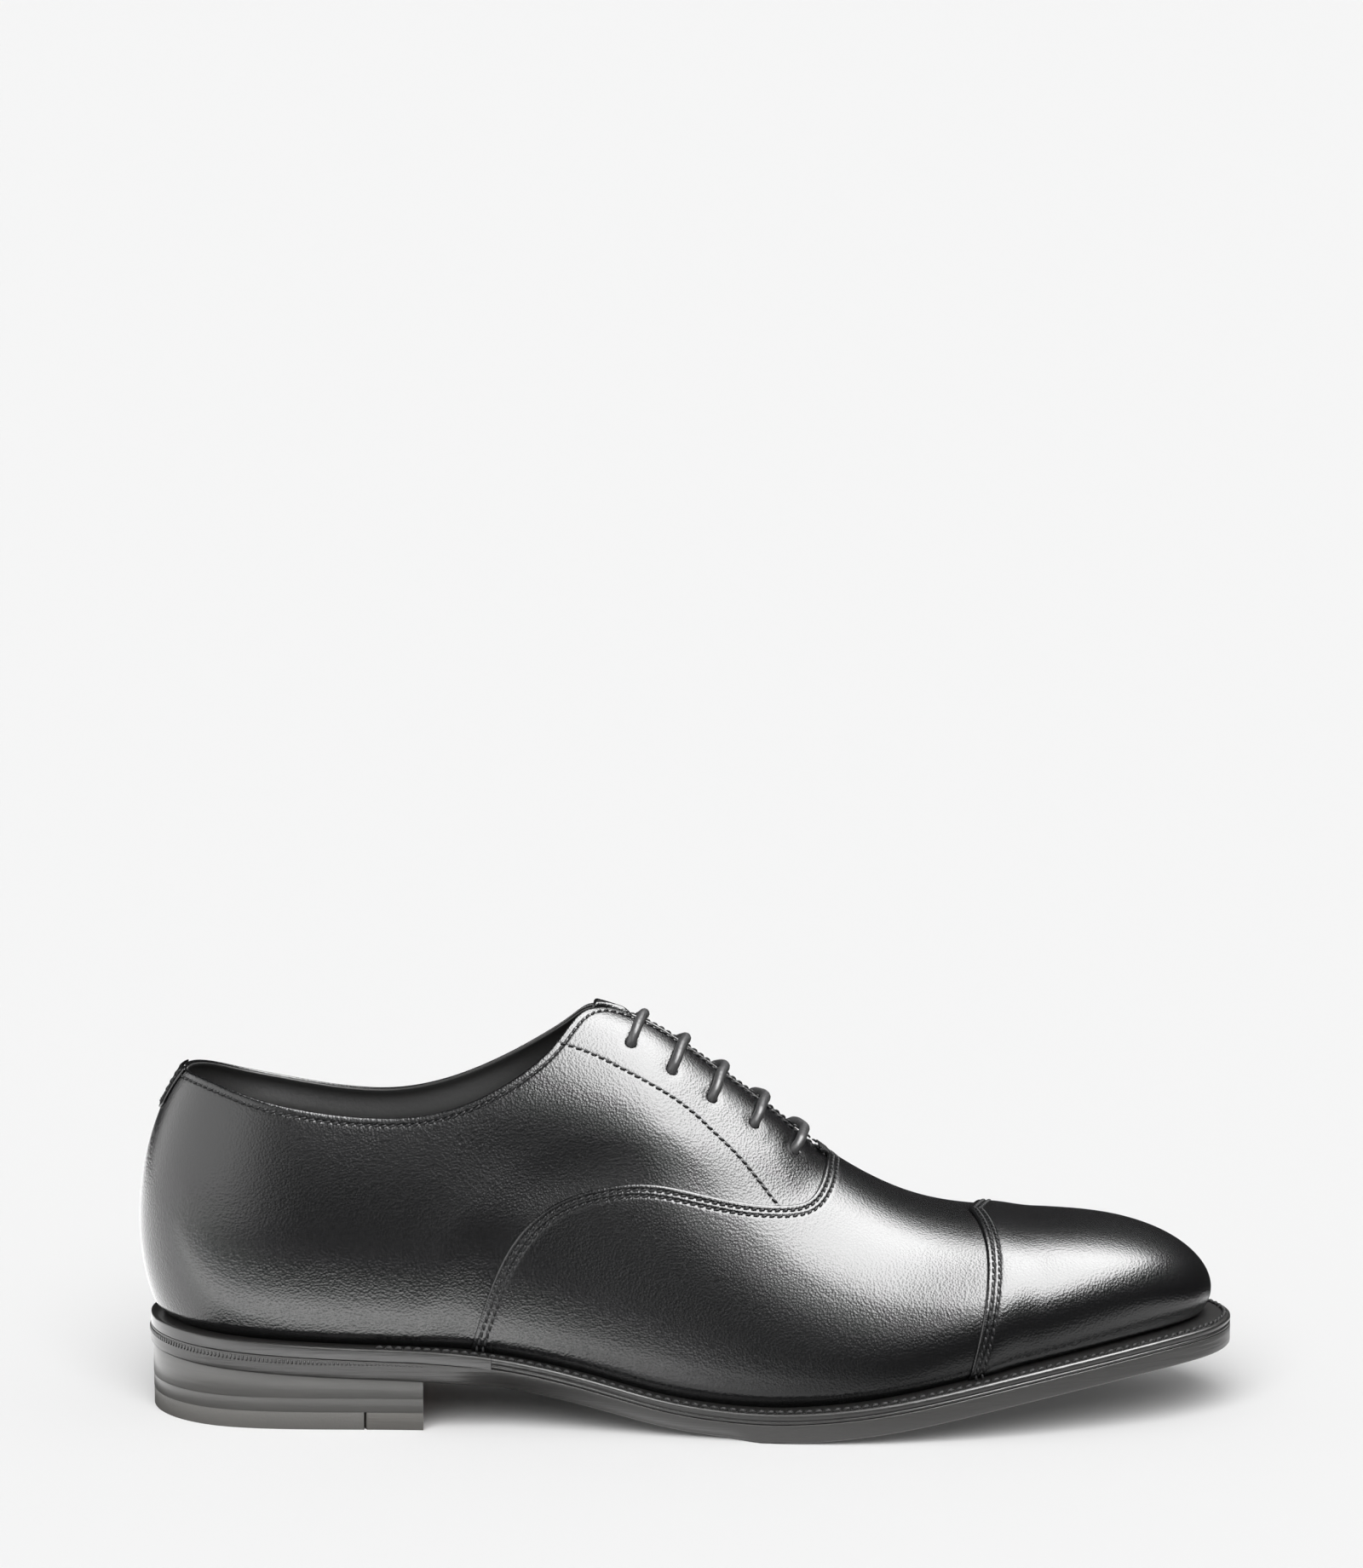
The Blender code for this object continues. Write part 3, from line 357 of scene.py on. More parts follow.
def shift_in_skin(curve_uw, distance):
    """Moves each point of a (u, w) curve square to it within the skin; positive goes right of travel."""
    u, w = curve_uw[:, 0], curve_uw[:, 1]
    points = skin(u, w)
    travel = unit(np.gradient(points, axis=0))
    aim = np.cross(travel, skin_normal(u, w))
    along = (skin(np.minimum(u + 1e-3, 1), w) - skin(np.maximum(u - 1e-3, 0), w)) / 2e-3
    across = (skin(u, np.minimum(w + 1e-3, 2)) - skin(u, np.maximum(w - 1e-3, 0))) / 2e-3
    aa, bb, ab = [np.sum(p * q, axis=1) for p, q in ((along, along), (across, across), (along, across))]
    ga, gb = np.sum(aim * along, axis=1), np.sum(aim * across, axis=1)
    det = aa * bb - ab * ab
    du = (ga * bb - gb * ab) / det
    dw = (gb * aa - ga * ab) / det
    return np.stack([np.clip(u + du * distance, 0, 1), np.clip(w + dw * distance, 0, 2)], axis=1)


def half_to_arch(points):
    """(u, w) curve over the whole arch from a one-sided (u, v) edge, outer feather to inner one."""
    curve = uv_curve(points)
    half = curve(np.linspace(0, 1, 240))
    half[:, 1] = np.clip(half[:, 1], 0, 1)
    other = half[::-1][1:].copy()
    other[:, 1] = 2 - other[:, 1]
    return np.concatenate([half, other])


vamp_arch = half_to_arch(VAMP_EDGE)
cap_arch = half_to_arch(CAP_EDGE)


# ------------------------------------------------------------------ meshes
def place(points):
    """Millimetres on the last to metres in the frame."""
    return np.asarray(points, float) * MM + np.array([BACK_X, 0, 0])


def make_object(name, points, faces, mat, sharp=None):
    mesh = bpy.data.meshes.new(name)
    mesh.from_pydata(place(points).tolist(), [], [tuple(int(i) for i in f) for f in faces])
    mesh.validate()
    mesh.update()
    mesh.shade_smooth()
    if sharp:
        mesh.set_sharp_from_angle(angle=math.radians(sharp))
    mesh.materials.append(mat)
    obj = bpy.data.objects.new(name, mesh)
    bpy.context.scene.collection.objects.link(obj)
    return obj


def grid_quads(columns, rows):
    i, j = np.meshgrid(np.arange(columns - 1), np.arange(rows - 1), indexing="ij")
    a = (i * rows + j).ravel()
    return np.stack([a, a + rows, a + rows + 1, a + 1], axis=1)


def ring_faces(rings, sides):
    """Quads between neighbouring closed rings of vertices."""
    quads = []
    for i in range(rings - 1):
        for k in range(sides):
            n = (k + 1) % sides
            quads.append((i * sides + k, (i + 1) * sides + k, (i + 1) * sides + n, i * sides + n))
    return quads


def tube_faces(rings, sides):
    """The same quads turned the other way, with a cap at each end."""
    faces = [quad[:1] + quad[:0:-1] for quad in ring_faces(rings, sides)]
    faces.append(tuple(range(sides))[::-1])
    faces.append(tuple((rings - 1) * sides + k for k in range(sides)))
    return faces


def rework(obj, change):
    """Runs change(bm) on the object's mesh."""
    bm = bmesh.new()
    bm.from_mesh(obj.data)
    change(bm)
    bm.to_mesh(obj.data)
    bm.free()
    return obj


def drop_loose(obj):
    """Removes vertices that no face uses."""
    return rework(obj, lambda bm: bmesh.ops.delete(
        bm, geom=[v for v in bm.verts if not v.link_faces], context="VERTS"))


def facing_out(obj):
    """Turns all faces of a closed mesh outwards."""
    return rework(obj, lambda bm: bmesh.ops.recalc_face_normals(bm, faces=bm.faces))


def thick_sheet(name, points, normals, thickness, mat, keep=None, same=None):
    """Closed sheet: outer grid, inner grid, and a half-round rim along every open border.

    points and normals are (columns, rows, 3); keep masks quads; same maps a vertex to the one it is
    welded to.  Also returns, for each vertex, the outer vertex that it came from.
    """
    columns, rows = points.shape[:2]
    outer = points.reshape(-1, 3)
    normal = normals.reshape(-1, 3)
    quads = grid_quads(columns, rows)
    if keep is not None:
        quads = quads[keep.ravel()]
    if same is not None:
        quads = same[quads]
    size = len(outer)
    starts = quads.ravel()
    ends = np.roll(quads, -1, axis=1).ravel()
    live = starts != ends
    starts, ends = starts[live], ends[live]
    open_edge = ~np.isin(starts * size + ends, ends * size + starts)
    starts, ends = starts[open_edge], ends[open_edge]
    travel = unit(outer[ends] - outer[starts])
    outs = np.zeros_like(outer)
    np.add.at(outs, starts, np.cross(travel, normal[starts]))
    np.add.at(outs, ends, np.cross(travel, normal[ends]))
    rim = np.unique(np.concatenate([starts, ends]))
    outs[rim] = unit(outs[rim] + 1e-12)
    radius = thickness / 2
    stack = [outer, outer - normal * thickness]
    slot_of = np.full(size, -1)
    slot_of[rim] = np.arange(len(rim))
    for k in range(1, RIM_STEPS):
        angle = math.pi * k / RIM_STEPS
        bulge = outs[rim] * radius * math.sin(angle) - normal[rim] * radius * (1 - math.cos(angle))
        stack.append(outer[rim] + bulge)

    def levels(corner):
        """Vertex numbers of a border corner on each level of the rim, outer grid to inner grid."""
        between = [2 * size + (k - 1) * len(rim) + slot_of[corner] for k in range(1, RIM_STEPS)]
        return [corner] + between + [size + corner]

    faces = [quads, quads[:, ::-1] + size]
    near, far = levels(starts), levels(ends)
    for k in range(RIM_STEPS):
        faces.append(np.stack([far[k], near[k], near[k + 1], far[k + 1]], axis=1))
    clean = []
    for face in np.concatenate(faces):
        if len(set(face)) == 4:
            clean.append(face)
        elif len(set(face)) == 3:
            clean.append([face[i] for i in range(4) if face[i] != face[i - 1]])
    source = np.concatenate([np.arange(size), np.arange(size)] + [rim] * (RIM_STEPS - 1))
    return make_object(name, np.concatenate(stack), clean, mat), source


# ------------------------------------------------------------------ thread
def capsule(segments=6, sides=6):
    """Unit stitch along X: an arched, tapered thread."""
    points = []
    for i in range(segments + 1):
        t = -0.5 + i / segments
        swell = math.sqrt(max(0.0, 1 - (2 * t) ** 4)) * 0.92 + 0.08
        for k in range(sides):
            turn = 2 * math.pi * k / sides
            points.append((t, swell * math.cos(turn), swell * math.sin(turn), math.cos(math.pi * t)))
    return np.array(points), tube_faces(segments + 1, sides)


CAPSULE_POINTS, CAPSULE_FACES = capsule()


def stitches(name, paths, mat, pitch=STITCH_PITCH, radius=THREAD, fill=0.86, slant=0.24, lift=0.05,
             arch=0.22):
    """Separate stitches along paths; a path is (points, normals) arrays of millimetres.

    fill is a stitch's share of the pitch, slant its turn across the row and arch its rise.
    """
    all_points, all_faces = [], []
    for points, normals in paths:
        length = path_length(points)
        count = max(1, int(length[-1] // pitch))
        middle = (np.arange(count) + 0.5) * length[-1] / count
        both = resample(np.concatenate([points, normals], axis=1), middle)
        ahead = resample(points, np.minimum(middle + 0.2, length[-1]))[:, :3]
        behind = resample(points, np.maximum(middle - 0.2, 0))[:, :3]
        normal = unit(both[:, 3:])
        travel = unit(ahead - behind)
        cross = unit(np.cross(normal, travel))
        size = fill * length[-1] / count
        t, ring_y, ring_z, bow = [CAPSULE_POINTS[:, k][None, :, None] for k in range(4)]
        made = (both[:, None, :3] + travel[:, None] * t * size
                + cross[:, None] * (t * size * slant + ring_y * radius)
                + normal[:, None] * (lift + bow * arch - arch * 0.5 + ring_z * radius))
        for block in made:
            base = len(all_points) * len(CAPSULE_POINTS)
            all_points.append(block)
            all_faces += [[base + k for k in face] for face in CAPSULE_FACES]
    return make_object(name, np.concatenate(all_points), all_faces, mat)


def skin_path(curve_uw, height):
    """Points and normals along a curve of the skin, lifted by a number or by height(points)."""
    points = skin(curve_uw[:, 0], curve_uw[:, 1])
    normals = skin_normal(curve_uw[:, 0], curve_uw[:, 1])
    lift = height(points) if callable(height) else height
    return points + normals * np.reshape(lift, (-1, 1)), normals


# ------------------------------------------------------------------ panels of the upper
def set_attribute(obj, name, source, values):
    """Stores a number per outer vertex; source says which outer vertex each vertex came from."""
    attribute = obj.data.attributes.new(name, "FLOAT", "POINT")
    attribute.data.foreach_set("value", values.ravel()[source].astype(np.float32))


BLOCK = 4000                  # points measured at a time


def signed_gap(points, path, normals):
    """Signed distance to a dense path, positive to the right of travel."""
    travel = unit(np.gradient(path[:, :3], axis=0))
    right = np.cross(travel, normals)
    flat = points.reshape(-1, 3)
    gap = np.empty(len(flat))
    for start in range(0, len(flat), BLOCK):
        block = flat[start:start + BLOCK]
        offset = block[:, None] - path[None, :, :3]
        distance = np.linalg.norm(offset, axis=2)
        near = distance.argmin(axis=1)
        pick = np.arange(len(block))
        nearest = offset[pick, near]
        gap[start:start + BLOCK] = np.copysign(distance[pick, near], np.sum(nearest * right[near], axis=1))
    return gap.reshape(points.shape[:-1])


def arch_path(arch, count=700):
    """Evenly spaced (x, y, z, u, w) rows along a whole-arch curve, and the skin normals there."""
    rows = trace(arch)
    rows = resample(rows, np.linspace(0, path_length(rows)[-1], count))
    return rows, skin_normal(rows[:, 3], rows[:, 4])


vamp_path, vamp_path_normals = arch_path(vamp_arch)
cap_path, cap_path_normals = arch_path(cap_arch)


def graded(total, fine, fine_step, step):
    """Shares from 0 to 1 with short steps over the first fine millimetres of total."""
    first = np.arange(0, fine, fine_step)
    rest = np.linspace(fine, total, int((total - fine) / step) + 1)
    return np.concatenate([first, rest]) / total


def sunk_rows(gap, rows):
    """Depth to which the seams' threads pull the leather in."""
    return sum(ROW_SINK * np.exp(-((gap - row) / ROW_WIDTH) ** 2) for row in rows)


def lap_height(gap, top):
    """How proud a lapping panel stands at a distance from its edge."""
    return top * (1 - smoothstep(gap, 2.5, 15)) - sunk_rows(gap, ROWS_IN)


def tuck_in(u, w):
    """Inward shift that turns the leather's foot under, towards the feather."""
    u, w = np.broadcast_arrays(u, w)
    v = np.minimum(w, 2 - w)
    amount = TUCK * np.clip(1 - v / TUCK_HEIGHT, 0, 1) ** 1.6
    level = outward(u, np.where(w <= 1, -1, 1))
    return np.concatenate([-level * amount[..., None], np.zeros(u.shape + (1,))], axis=-1)


def safe_normal(u, w):
    """Normal that stays defined at the toe's very tip."""
    return skin_normal(np.minimum(u, 0.997), w)


def build_vamp(mat):
    count = int(path_length(vamp_path)[-1] / 0.95)
    rows = resample(vamp_path, np.linspace(0, path_length(vamp_path)[-1], count))
    left, w = rows[:, 3], rows[:, 4]
    under_cap = shift_in_skin(cap_path[:, 3:], LAP)
    right = np.interp(w, under_cap[:, 1], under_cap[:, 0])
    share = graded(120, 6, 0.5, 1.15)[:, None]
    u = left[None] + (right - left)[None] * share
    w = np.broadcast_to(w, u.shape)
    gap = signed_gap(skin(u, w), vamp_path, vamp_path_normals)
    normals = safe_normal(u, w)
    points = skin(u, w) + normals * lap_height(gap, VAMP_RAISE)[..., None] + tuck_in(u, w)
    obj, source = thick_sheet("vamp_leather", points, normals, LEATHER, mat)
    set_attribute(obj, "seam_gap", source, gap)
    return obj


def nose_grid(path, rows, share):
    """(u, w) columns from a seam to the toe's tip, and the welds that shut the last column."""
    w = np.linspace(0, 2, rows)
    left = np.interp(w, path[:, 4], path[:, 3])
    share = (1 - (1 - share) ** NOSE_EASE)[:, None]
    u = left[None] + (1 - left)[None] * share
    same = np.arange(u.size)
    tip = (len(share) - 1) * rows
    for j in range(rows // 2 + 1, rows):
        same[tip + j] = tip + rows - 1 - j
    return u, np.broadcast_to(w, u.shape), same


def build_cap(mat):
    u, w, same = nose_grid(cap_path, 151, graded(100, 6, 0.5, 1.0))
    gap = signed_gap(skin(u, w), cap_path, cap_path_normals)
    normals = safe_normal(u, w)
    points = skin(u, w) + normals * lap_height(gap, CAP_RAISE)[..., None] + tuck_in(u, w)
    obj, source = thick_sheet("toe_cap_leather", points, normals, LEATHER, mat, same=same)
    set_attribute(obj, "seam_gap", source, gap)
    return obj


def top_curve(side):
    """Upper edge of the quarter as dense (u, v) rows: the topline, then the facing edge."""
    line = TOPLINE_OUTER if side < 0 else TOPLINE_INNER
    points = list(line)
    points += [(FACING_TOP_U, 0.952), (FACING_TOP_U + 0.010, 0.979), (FACING_TOP_U + 0.022, FACING_EDGE_V)]
    points += [(u, FACING_EDGE_V) for u in (0.46, 0.50, 0.55, 0.62)]
    rows = uv_curve(points)(np.linspace(0, 1, 500))
    rows[:, 1] = np.minimum(rows[:, 1], FACING_EDGE_V)
    return rows


def top_path(side, count=900):
    """Evenly spaced (x, y, z, u, w) rows along the quarter's upper edge, and the normals there."""
    curve = top_curve(side)
    curve = curve[curve[:, 0] < FACING_END_U]
    rows = trace(np.stack([curve[:, 0], side_w(curve[:, 1], side)], axis=1))
    rows = resample(rows, np.linspace(0, path_length(rows)[-1], count))
    return rows, skin_normal(rows[:, 3], rows[:, 4])


def quarter_grid(side, spacing, row_count):
    """(u, w) columns from the feather or the vamp's lap up to the topline."""
    top = top_curve(side)
    half = vamp_path[vamp_path[:, 4] <= 1]
    under = shift_in_skin(half[:, 3:], LAP)
    u = np.linspace(0.0006, under[-1, 0], 3000)
    high = np.interp(u, top[:, 0], top[:, 1])
    low = np.interp(u, under[:, 0], under[:, 1], left=0.0)
    live = low < high - 0.004
    u, high, low = u[live], high[live], low[live]
    step = np.maximum(np.linalg.norm(np.diff(surface(u, high, side), axis=0), axis=1),
                      np.linalg.norm(np.diff(surface(u, low, side), axis=0), axis=1))
    step = step * (1 + 0.9 * smoothstep(u[1:], 0.41, 0.43))
    length = np.concatenate([[0], np.cumsum(step)])
    places = np.linspace(0, length[-1], int(length[-1] / spacing))
    u_col, high, low = [np.interp(places, length, values) for values in (u, high, low)]
    share = np.linspace(0, 1, row_count)[None]
    v = low[:, None] + (high - low)[:, None] * share
    u_grid = np.broadcast_to(u_col[:, None], v.shape)
    if side > 0:
        u_grid, v = u_grid[::-1], v[::-1]
    return u_grid, side_w(v, side)


def punch(points, side, radius):
    """Moves grid vertices onto the eyelet holes' circles; returns the quads to keep."""
    columns, rows = points.shape[:2]
    keep = np.ones((columns - 1, rows - 1), bool)
    middles = (points[1:, 1:] + points[:-1, 1:] + points[1:, :-1] + points[:-1, :-1]) / 4
    for u, v in EYELETS:
        w = side_w(v, side)
        centre, axis = skin(u, w), skin_normal(u, w)
        offset = middles - centre
        flat = offset - (offset @ axis)[..., None] * axis
        hole = (np.linalg.norm(flat, axis=2) < radius) & (np.linalg.norm(offset, axis=2) < 9)
        keep &= ~hole
        touches = np.zeros((columns, rows), bool)
        free = np.zeros((columns, rows), bool)
        for a, b in ((0, 0), (0, 1), (1, 0), (1, 1)):
            touches[a:columns - 1 + a, b:rows - 1 + b] |= hole
            free[a:columns - 1 + a, b:rows - 1 + b] |= ~hole
        edge = touches & free
        away = points[edge] - centre
        height = (away @ axis)[:, None] * axis
        points[edge] = centre + height + unit(away - height) * radius
    return keep


def dimple(points, side):
    """Depth to which the lace has pulled the leather in around the eyelets."""
    depth = np.zeros(points.shape[:-1])
    for u, v in EYELETS:
        gap = np.linalg.norm(points - skin(u, side_w(v, side)), axis=-1)
        depth += DIMPLE_DEPTH * np.exp(-((gap - HOLE_RADIUS) / DIMPLE_WIDTH) ** 2)
    return depth


def vamp_dip(points):
    """Depth to which a quarter sinks as it comes down to the vamp's edge."""
    gap = signed_gap(points, vamp_path, vamp_path_normals)
    return QUARTER_DIP * (1 - smoothstep(-gap, 0, DIP_REACH))


def waist_hollow(points):
    """Depth of the soft fold where a quarter gives above the vamp's wing."""
    depth = HOLLOW_DEPTH
    for axis, centre, reach in zip((0, 2), HOLLOW_CENTRE, HOLLOW_REACH):
        share = np.minimum(np.abs(points[..., axis] - centre) / reach, 1)
        depth = depth * (1 + np.cos(np.pi * share)) / 2
    return depth


def build_quarter(side, word, mat):
    u, w = quarter_grid(side, 0.85, 110)
    points = skin(u, w)
    normals = skin_normal(u, w)
    path, path_normals = top_path(side)
    gap = signed_gap(points, path, path_normals)
    line_gap = signed_gap(points, *facing_line(side))
    rows = sunk_rows(np.abs(gap), [TOPLINE_ROW]) + sunk_rows(line_gap, [0.0])
    pulled = dimple(points, side) + SINGLE_ROW * rows + vamp_dip(points) + waist_hollow(points)
    points = points - normals * pulled[..., None] + tuck_in(u, w)
    keep = punch(points, side, HOLE_RADIUS)
    obj, source = thick_sheet("quarter_leather_" + word, points, normals, LEATHER, mat, keep=keep)
    set_attribute(obj, "top_gap", source, gap * -np.sign(side))
    set_attribute(obj, "line_gap", source, line_gap)
    return obj


def facing_line(side):
    """Path of the single row that curves from the topline down to the vamp's edge."""
    curve = uv_curve(FACING_STITCH)(np.linspace(0, 1, 300))
    rows = trace(np.stack([curve[:, 0], side_w(curve[:, 1], side)], axis=1))
    rows = resample(rows, np.linspace(0, path_length(rows)[-1], 400))
    return rows, skin_normal(rows[:, 3], rows[:, 4])


def build_quarter_lining(side, word, mat):
    u, w = quarter_grid(side, 1.5, 70)
    points = skin(u, w)
    normals = skin_normal(u, w)
    path, path_normals = top_path(side)
    gap = np.abs(signed_gap(points, path, path_normals))
    deep = LINING_DEEP - (LINING_DEEP - LINING_WAIST) * smoothstep(u, 0.28, 0.38)
    depth = LINING_TOP + (deep - LINING_TOP) * smoothstep(gap, 0.5, 9 - 4 * smoothstep(u, 0.38, 0.42))
    depth = depth + 0.5 * waist_hollow(points)
    points = points - normals * depth[..., None]
    keep = punch(points, side, HOLE_RADIUS + 0.2)
    obj, _ = thick_sheet("quarter_lining_leather_" + word, points, normals, LINING, mat, keep=keep)
    return obj


def build_vamp_lining(mat):
    u, w, same = nose_grid(vamp_path, 91, np.linspace(0, 1, 90))
    normals = safe_normal(u, w)
    points = skin(u, w) - normals * LINING_DEEP
    obj, _ = thick_sheet("vamp_lining_leather", points, normals, LINING, mat, same=same)
    return obj


def strip_edge(share):
    """Half width of the back strip in u at a share of its height."""
    return 0.0125 + 0.006 * share ** 1.5


def heel_wrap(position, v):
    """(u, w) at a signed position round the heel; negative is the inner side."""
    return np.abs(position), np.where(position >= 0, v, 2 - v)


def build_back_strip(mat):
    share = np.linspace(0, 1, 45)[None]
    position = np.linspace(-1, 1, 61)[:, None] * strip_edge(share)
    foot = STRIP_FOOT_V + 0.02 * (np.linspace(-1, 1, 61)[:, None]) ** 2
    v = foot + (STRIP_TOP_V - foot) * share
    u, w = heel_wrap(position, v)
    normals = skin_normal(np.maximum(u, 1e-3), w)
    points = skin(u, w) + normals * STRIP_HEIGHT
    obj, _ = thick_sheet("back_strip_leather", points, normals, STRIP_HEIGHT - 0.05, mat)
    return obj


def tongue_height(u, w):
    """The tongue lies under the lacing and comes up to the ridge at its top end."""
    v = np.where(w <= 1, w, 2 - w)
    edge = np.interp(u, *top_curve(-1).T)
    rise = 1 - smoothstep(u, 0.424, 0.47)
    cover = smoothstep(v, edge - 0.045, edge + 0.012)
    return -TONGUE_DEEP + (TONGUE_DEEP + TONGUE_PROUD) * rise * cover


def build_tongue(mat):
    u = np.linspace(TONGUE_TOP_U, TONGUE_FOOT_U, 150)[:, None]
    low = 0.835 - 0.055 * smoothstep(u, 0.399, 0.45)
    share = np.linspace(-1, 1, 61)[None]
    w = 1 + (1 - low) * share
    u = u + 0.004 * share ** 2 * (1 - smoothstep(u, TONGUE_TOP_U, TONGUE_TOP_U + 0.02))
    normals = skin_normal(u, w)
    points = skin(u, w) + normals * tongue_height(u, w)[..., None]
    obj, _ = thick_sheet("tongue_leather", points, normals, TONGUE_THICKNESS, mat)
    return obj


# ------------------------------------------------------------------ seams
def on_vamp(points):
    return lap_height(signed_gap(points, vamp_path, vamp_path_normals), VAMP_RAISE)


def on_cap(points):
    return lap_height(signed_gap(points, cap_path, cap_path_normals), CAP_RAISE)


def lap_rows(path, height):
    """The two stitched rows of a lap seam."""
    return [skin_path(shift_in_skin(path[::2, 3:], inset), height) for inset in ROWS_IN]


def topline_row(side):
    path, _ = top_path(side, 500)
    curve = shift_in_skin(path[:, 3:], TOPLINE_ROW * -side)
    return skin_path(curve, 0.0)


def build_upper_seams(thread):
    made = [stitches("vamp_stitching", lap_rows(vamp_path, on_vamp), thread)]
    made.append(stitches("toe_cap_stitching", lap_rows(cap_path, on_cap), thread))
    for side, word in ((-1, "lateral"), (1, "medial")):
        line, normals = facing_line(side)
        points = line[:, :3]
        rows = [(points - normals * vamp_dip(points)[:, None], normals), topline_row(side)]
        made.append(stitches("quarter_stitching_" + word, rows, thread, radius=0.33, lift=0.03))
    made.append(build_bar_tack(thread))
    made.append(build_strip_stitching(thread))
    return made


def build_bar_tack(thread):
    """Short thick stitches that hold the two facings together at the throat."""
    rows = []
    w = np.linspace(1 - TACK_REACH, 1 + TACK_REACH, 12)
    for number in range(TACK_COUNT):
        u = np.full(len(w), TACK_U + TACK_STEP * number)
        rows.append(skin_path(np.stack([u, w], axis=1), TACK_LIFT))
    return stitches("throat_bar_tack", rows, thread, pitch=40, radius=0.34, fill=1.0, slant=0, lift=0.1)


def strip_row(position, v):
    """A stitched row on the back strip, round the heel or up its side."""
    u, w = heel_wrap(position, v)
    normals = skin_normal(np.maximum(u, 1e-3), w)
    return skin(u, w) + normals * STRIP_HEIGHT, normals


def build_strip_stitching(thread):
    share = np.linspace(0.08, 0.97, 60)
    v = STRIP_FOOT_V + (STRIP_TOP_V - STRIP_FOOT_V) * share
    rows = [strip_row(hand * (strip_edge(share) - STRIP_ROW_IN), v) for hand in (-1, 1)]
    rows.append(strip_row(np.linspace(-0.007, 0.007, 40), np.full(40, STRIP_FOOT_V + 0.017)))
    return stitches("back_strip_stitching", rows, thread)


# ------------------------------------------------------------------ lacing
def lace_bar(number, start_side):
    """Points of one bar: up through one eyelet, over the ridge and down the other."""
    u, v = EYELETS[number]
    points = [(u, v, 0, LACE_UNDER - BEND_ROOM), (u, v, 0, 1.0)]
    for up, depth in ((0.012, LACE_OVER + 1.0), (0.035, LACE_OVER), (0.085, LACE_OVER), (0.14, LACE_OVER)):
        share = 1 - (1 - v - up) / (1 - v)
        lean = BAR_LEAN * (1 - (1 - share) ** 2)
        bow = INNER_BOW * 4 * share * (1 - share)
        points.append((u + lean, v + up, bow, depth))
    near = [(a + (bow if start_side > 0 else 0), b, start_side, c) for a, b, bow, c in points]
    far = [(a + (bow if start_side < 0 else 0), b, -start_side, c) for a, b, bow, c in reversed(points)]
    return near + [(u + BAR_LEAN, 0.999, start_side, LACE_OVER)] + far


def hidden_run(first, second, side, shift):
    """Run under the facing from one eyelet to another on the same side."""
    u0, v0 = EYELETS[first]
    u1, v1 = EYELETS[second]
    points = []
    for share in (0.1, 0.35, 0.65, 0.9):
        middle = 1 - abs(2 * share - 1) ** 3
        points.append((u0 + (u1 - u0) * share, v0 + (v1 - v0) * share + shift * middle, side, LACE_UNDER))
    return points


def tail(number, side):
    """Loose end tucked down between the lining and the tongue's edge."""
    u, v = EYELETS[number]
    return [(u + along, v + down, side, LACE_UNDER) for along, down in TAIL_STEPS]


def lace_route():
    route = list(reversed(tail(3, -1)))
    route += lace_bar(3, -1)
    route += hidden_run(3, 1, 1, -0.055)
    route += lace_bar(1, 1)
    route += hidden_run(1, 0, -1, 0.0)
    route += lace_bar(0, -1)
    route += hidden_run(0, 2, 1, 0.045)
    route += lace_bar(2, 1)
    route += hidden_run(2, 4, -1, 0.045)
    route += lace_bar(4, -1)
    route += tail(4, 1)
    return route


def smooth_path(points, step):
    """Even points along a cubic through the given ones."""
    chord = np.concatenate([[0], np.cumsum(np.sqrt(np.linalg.norm(np.diff(points, axis=0), axis=1)))])
    t = np.linspace(0, chord[-1], len(points) * 20)
    dense = np.stack([spline(chord, points[:, k])(t) for k in range(3)], axis=1)
    length = path_length(dense)
    return resample(dense, np.arange(0, length[-1], step))


def braided_cord(name, path, radius, sides, mat):
    """Round braided cord along a path."""
    travel = unit(np.gradient(path, axis=0))
    side = np.cross(travel[0], (0, 0, 1.0))
    frames = []
    for direction in travel:
        side = side - direction * (side @ direction)
        side = side / np.linalg.norm(side)
        frames.append(side)
    across = np.array(frames)
    over = np.cross(travel, across)
    turn = np.linspace(0, 2 * math.pi, sides, endpoint=False)[None]
    run = path_length(path)[:, None] * 2 * math.pi / BRAID_TURN
    swell = radius + BRAID * np.cos(BRAID_LOBES * turn + run) * np.cos(BRAID_LOBES * turn - run)
    points = (path[:, None] + across[:, None] * (np.cos(turn) * swell)[..., None]
              + over[:, None] * (np.sin(turn) * swell)[..., None])
    return make_object(name, points.reshape(-1, 3), tube_faces(len(path), sides), mat)


def build_lace(mat):
    points = []
    for u, v, side, depth in lace_route():
        w = side_w(v, side)
        points.append(skin(u, w) - skin_normal(u, w) * depth)
    return braided_cord("lace_cord", smooth_path(np.array(points), 0.4), LACE_RADIUS, 24, mat)


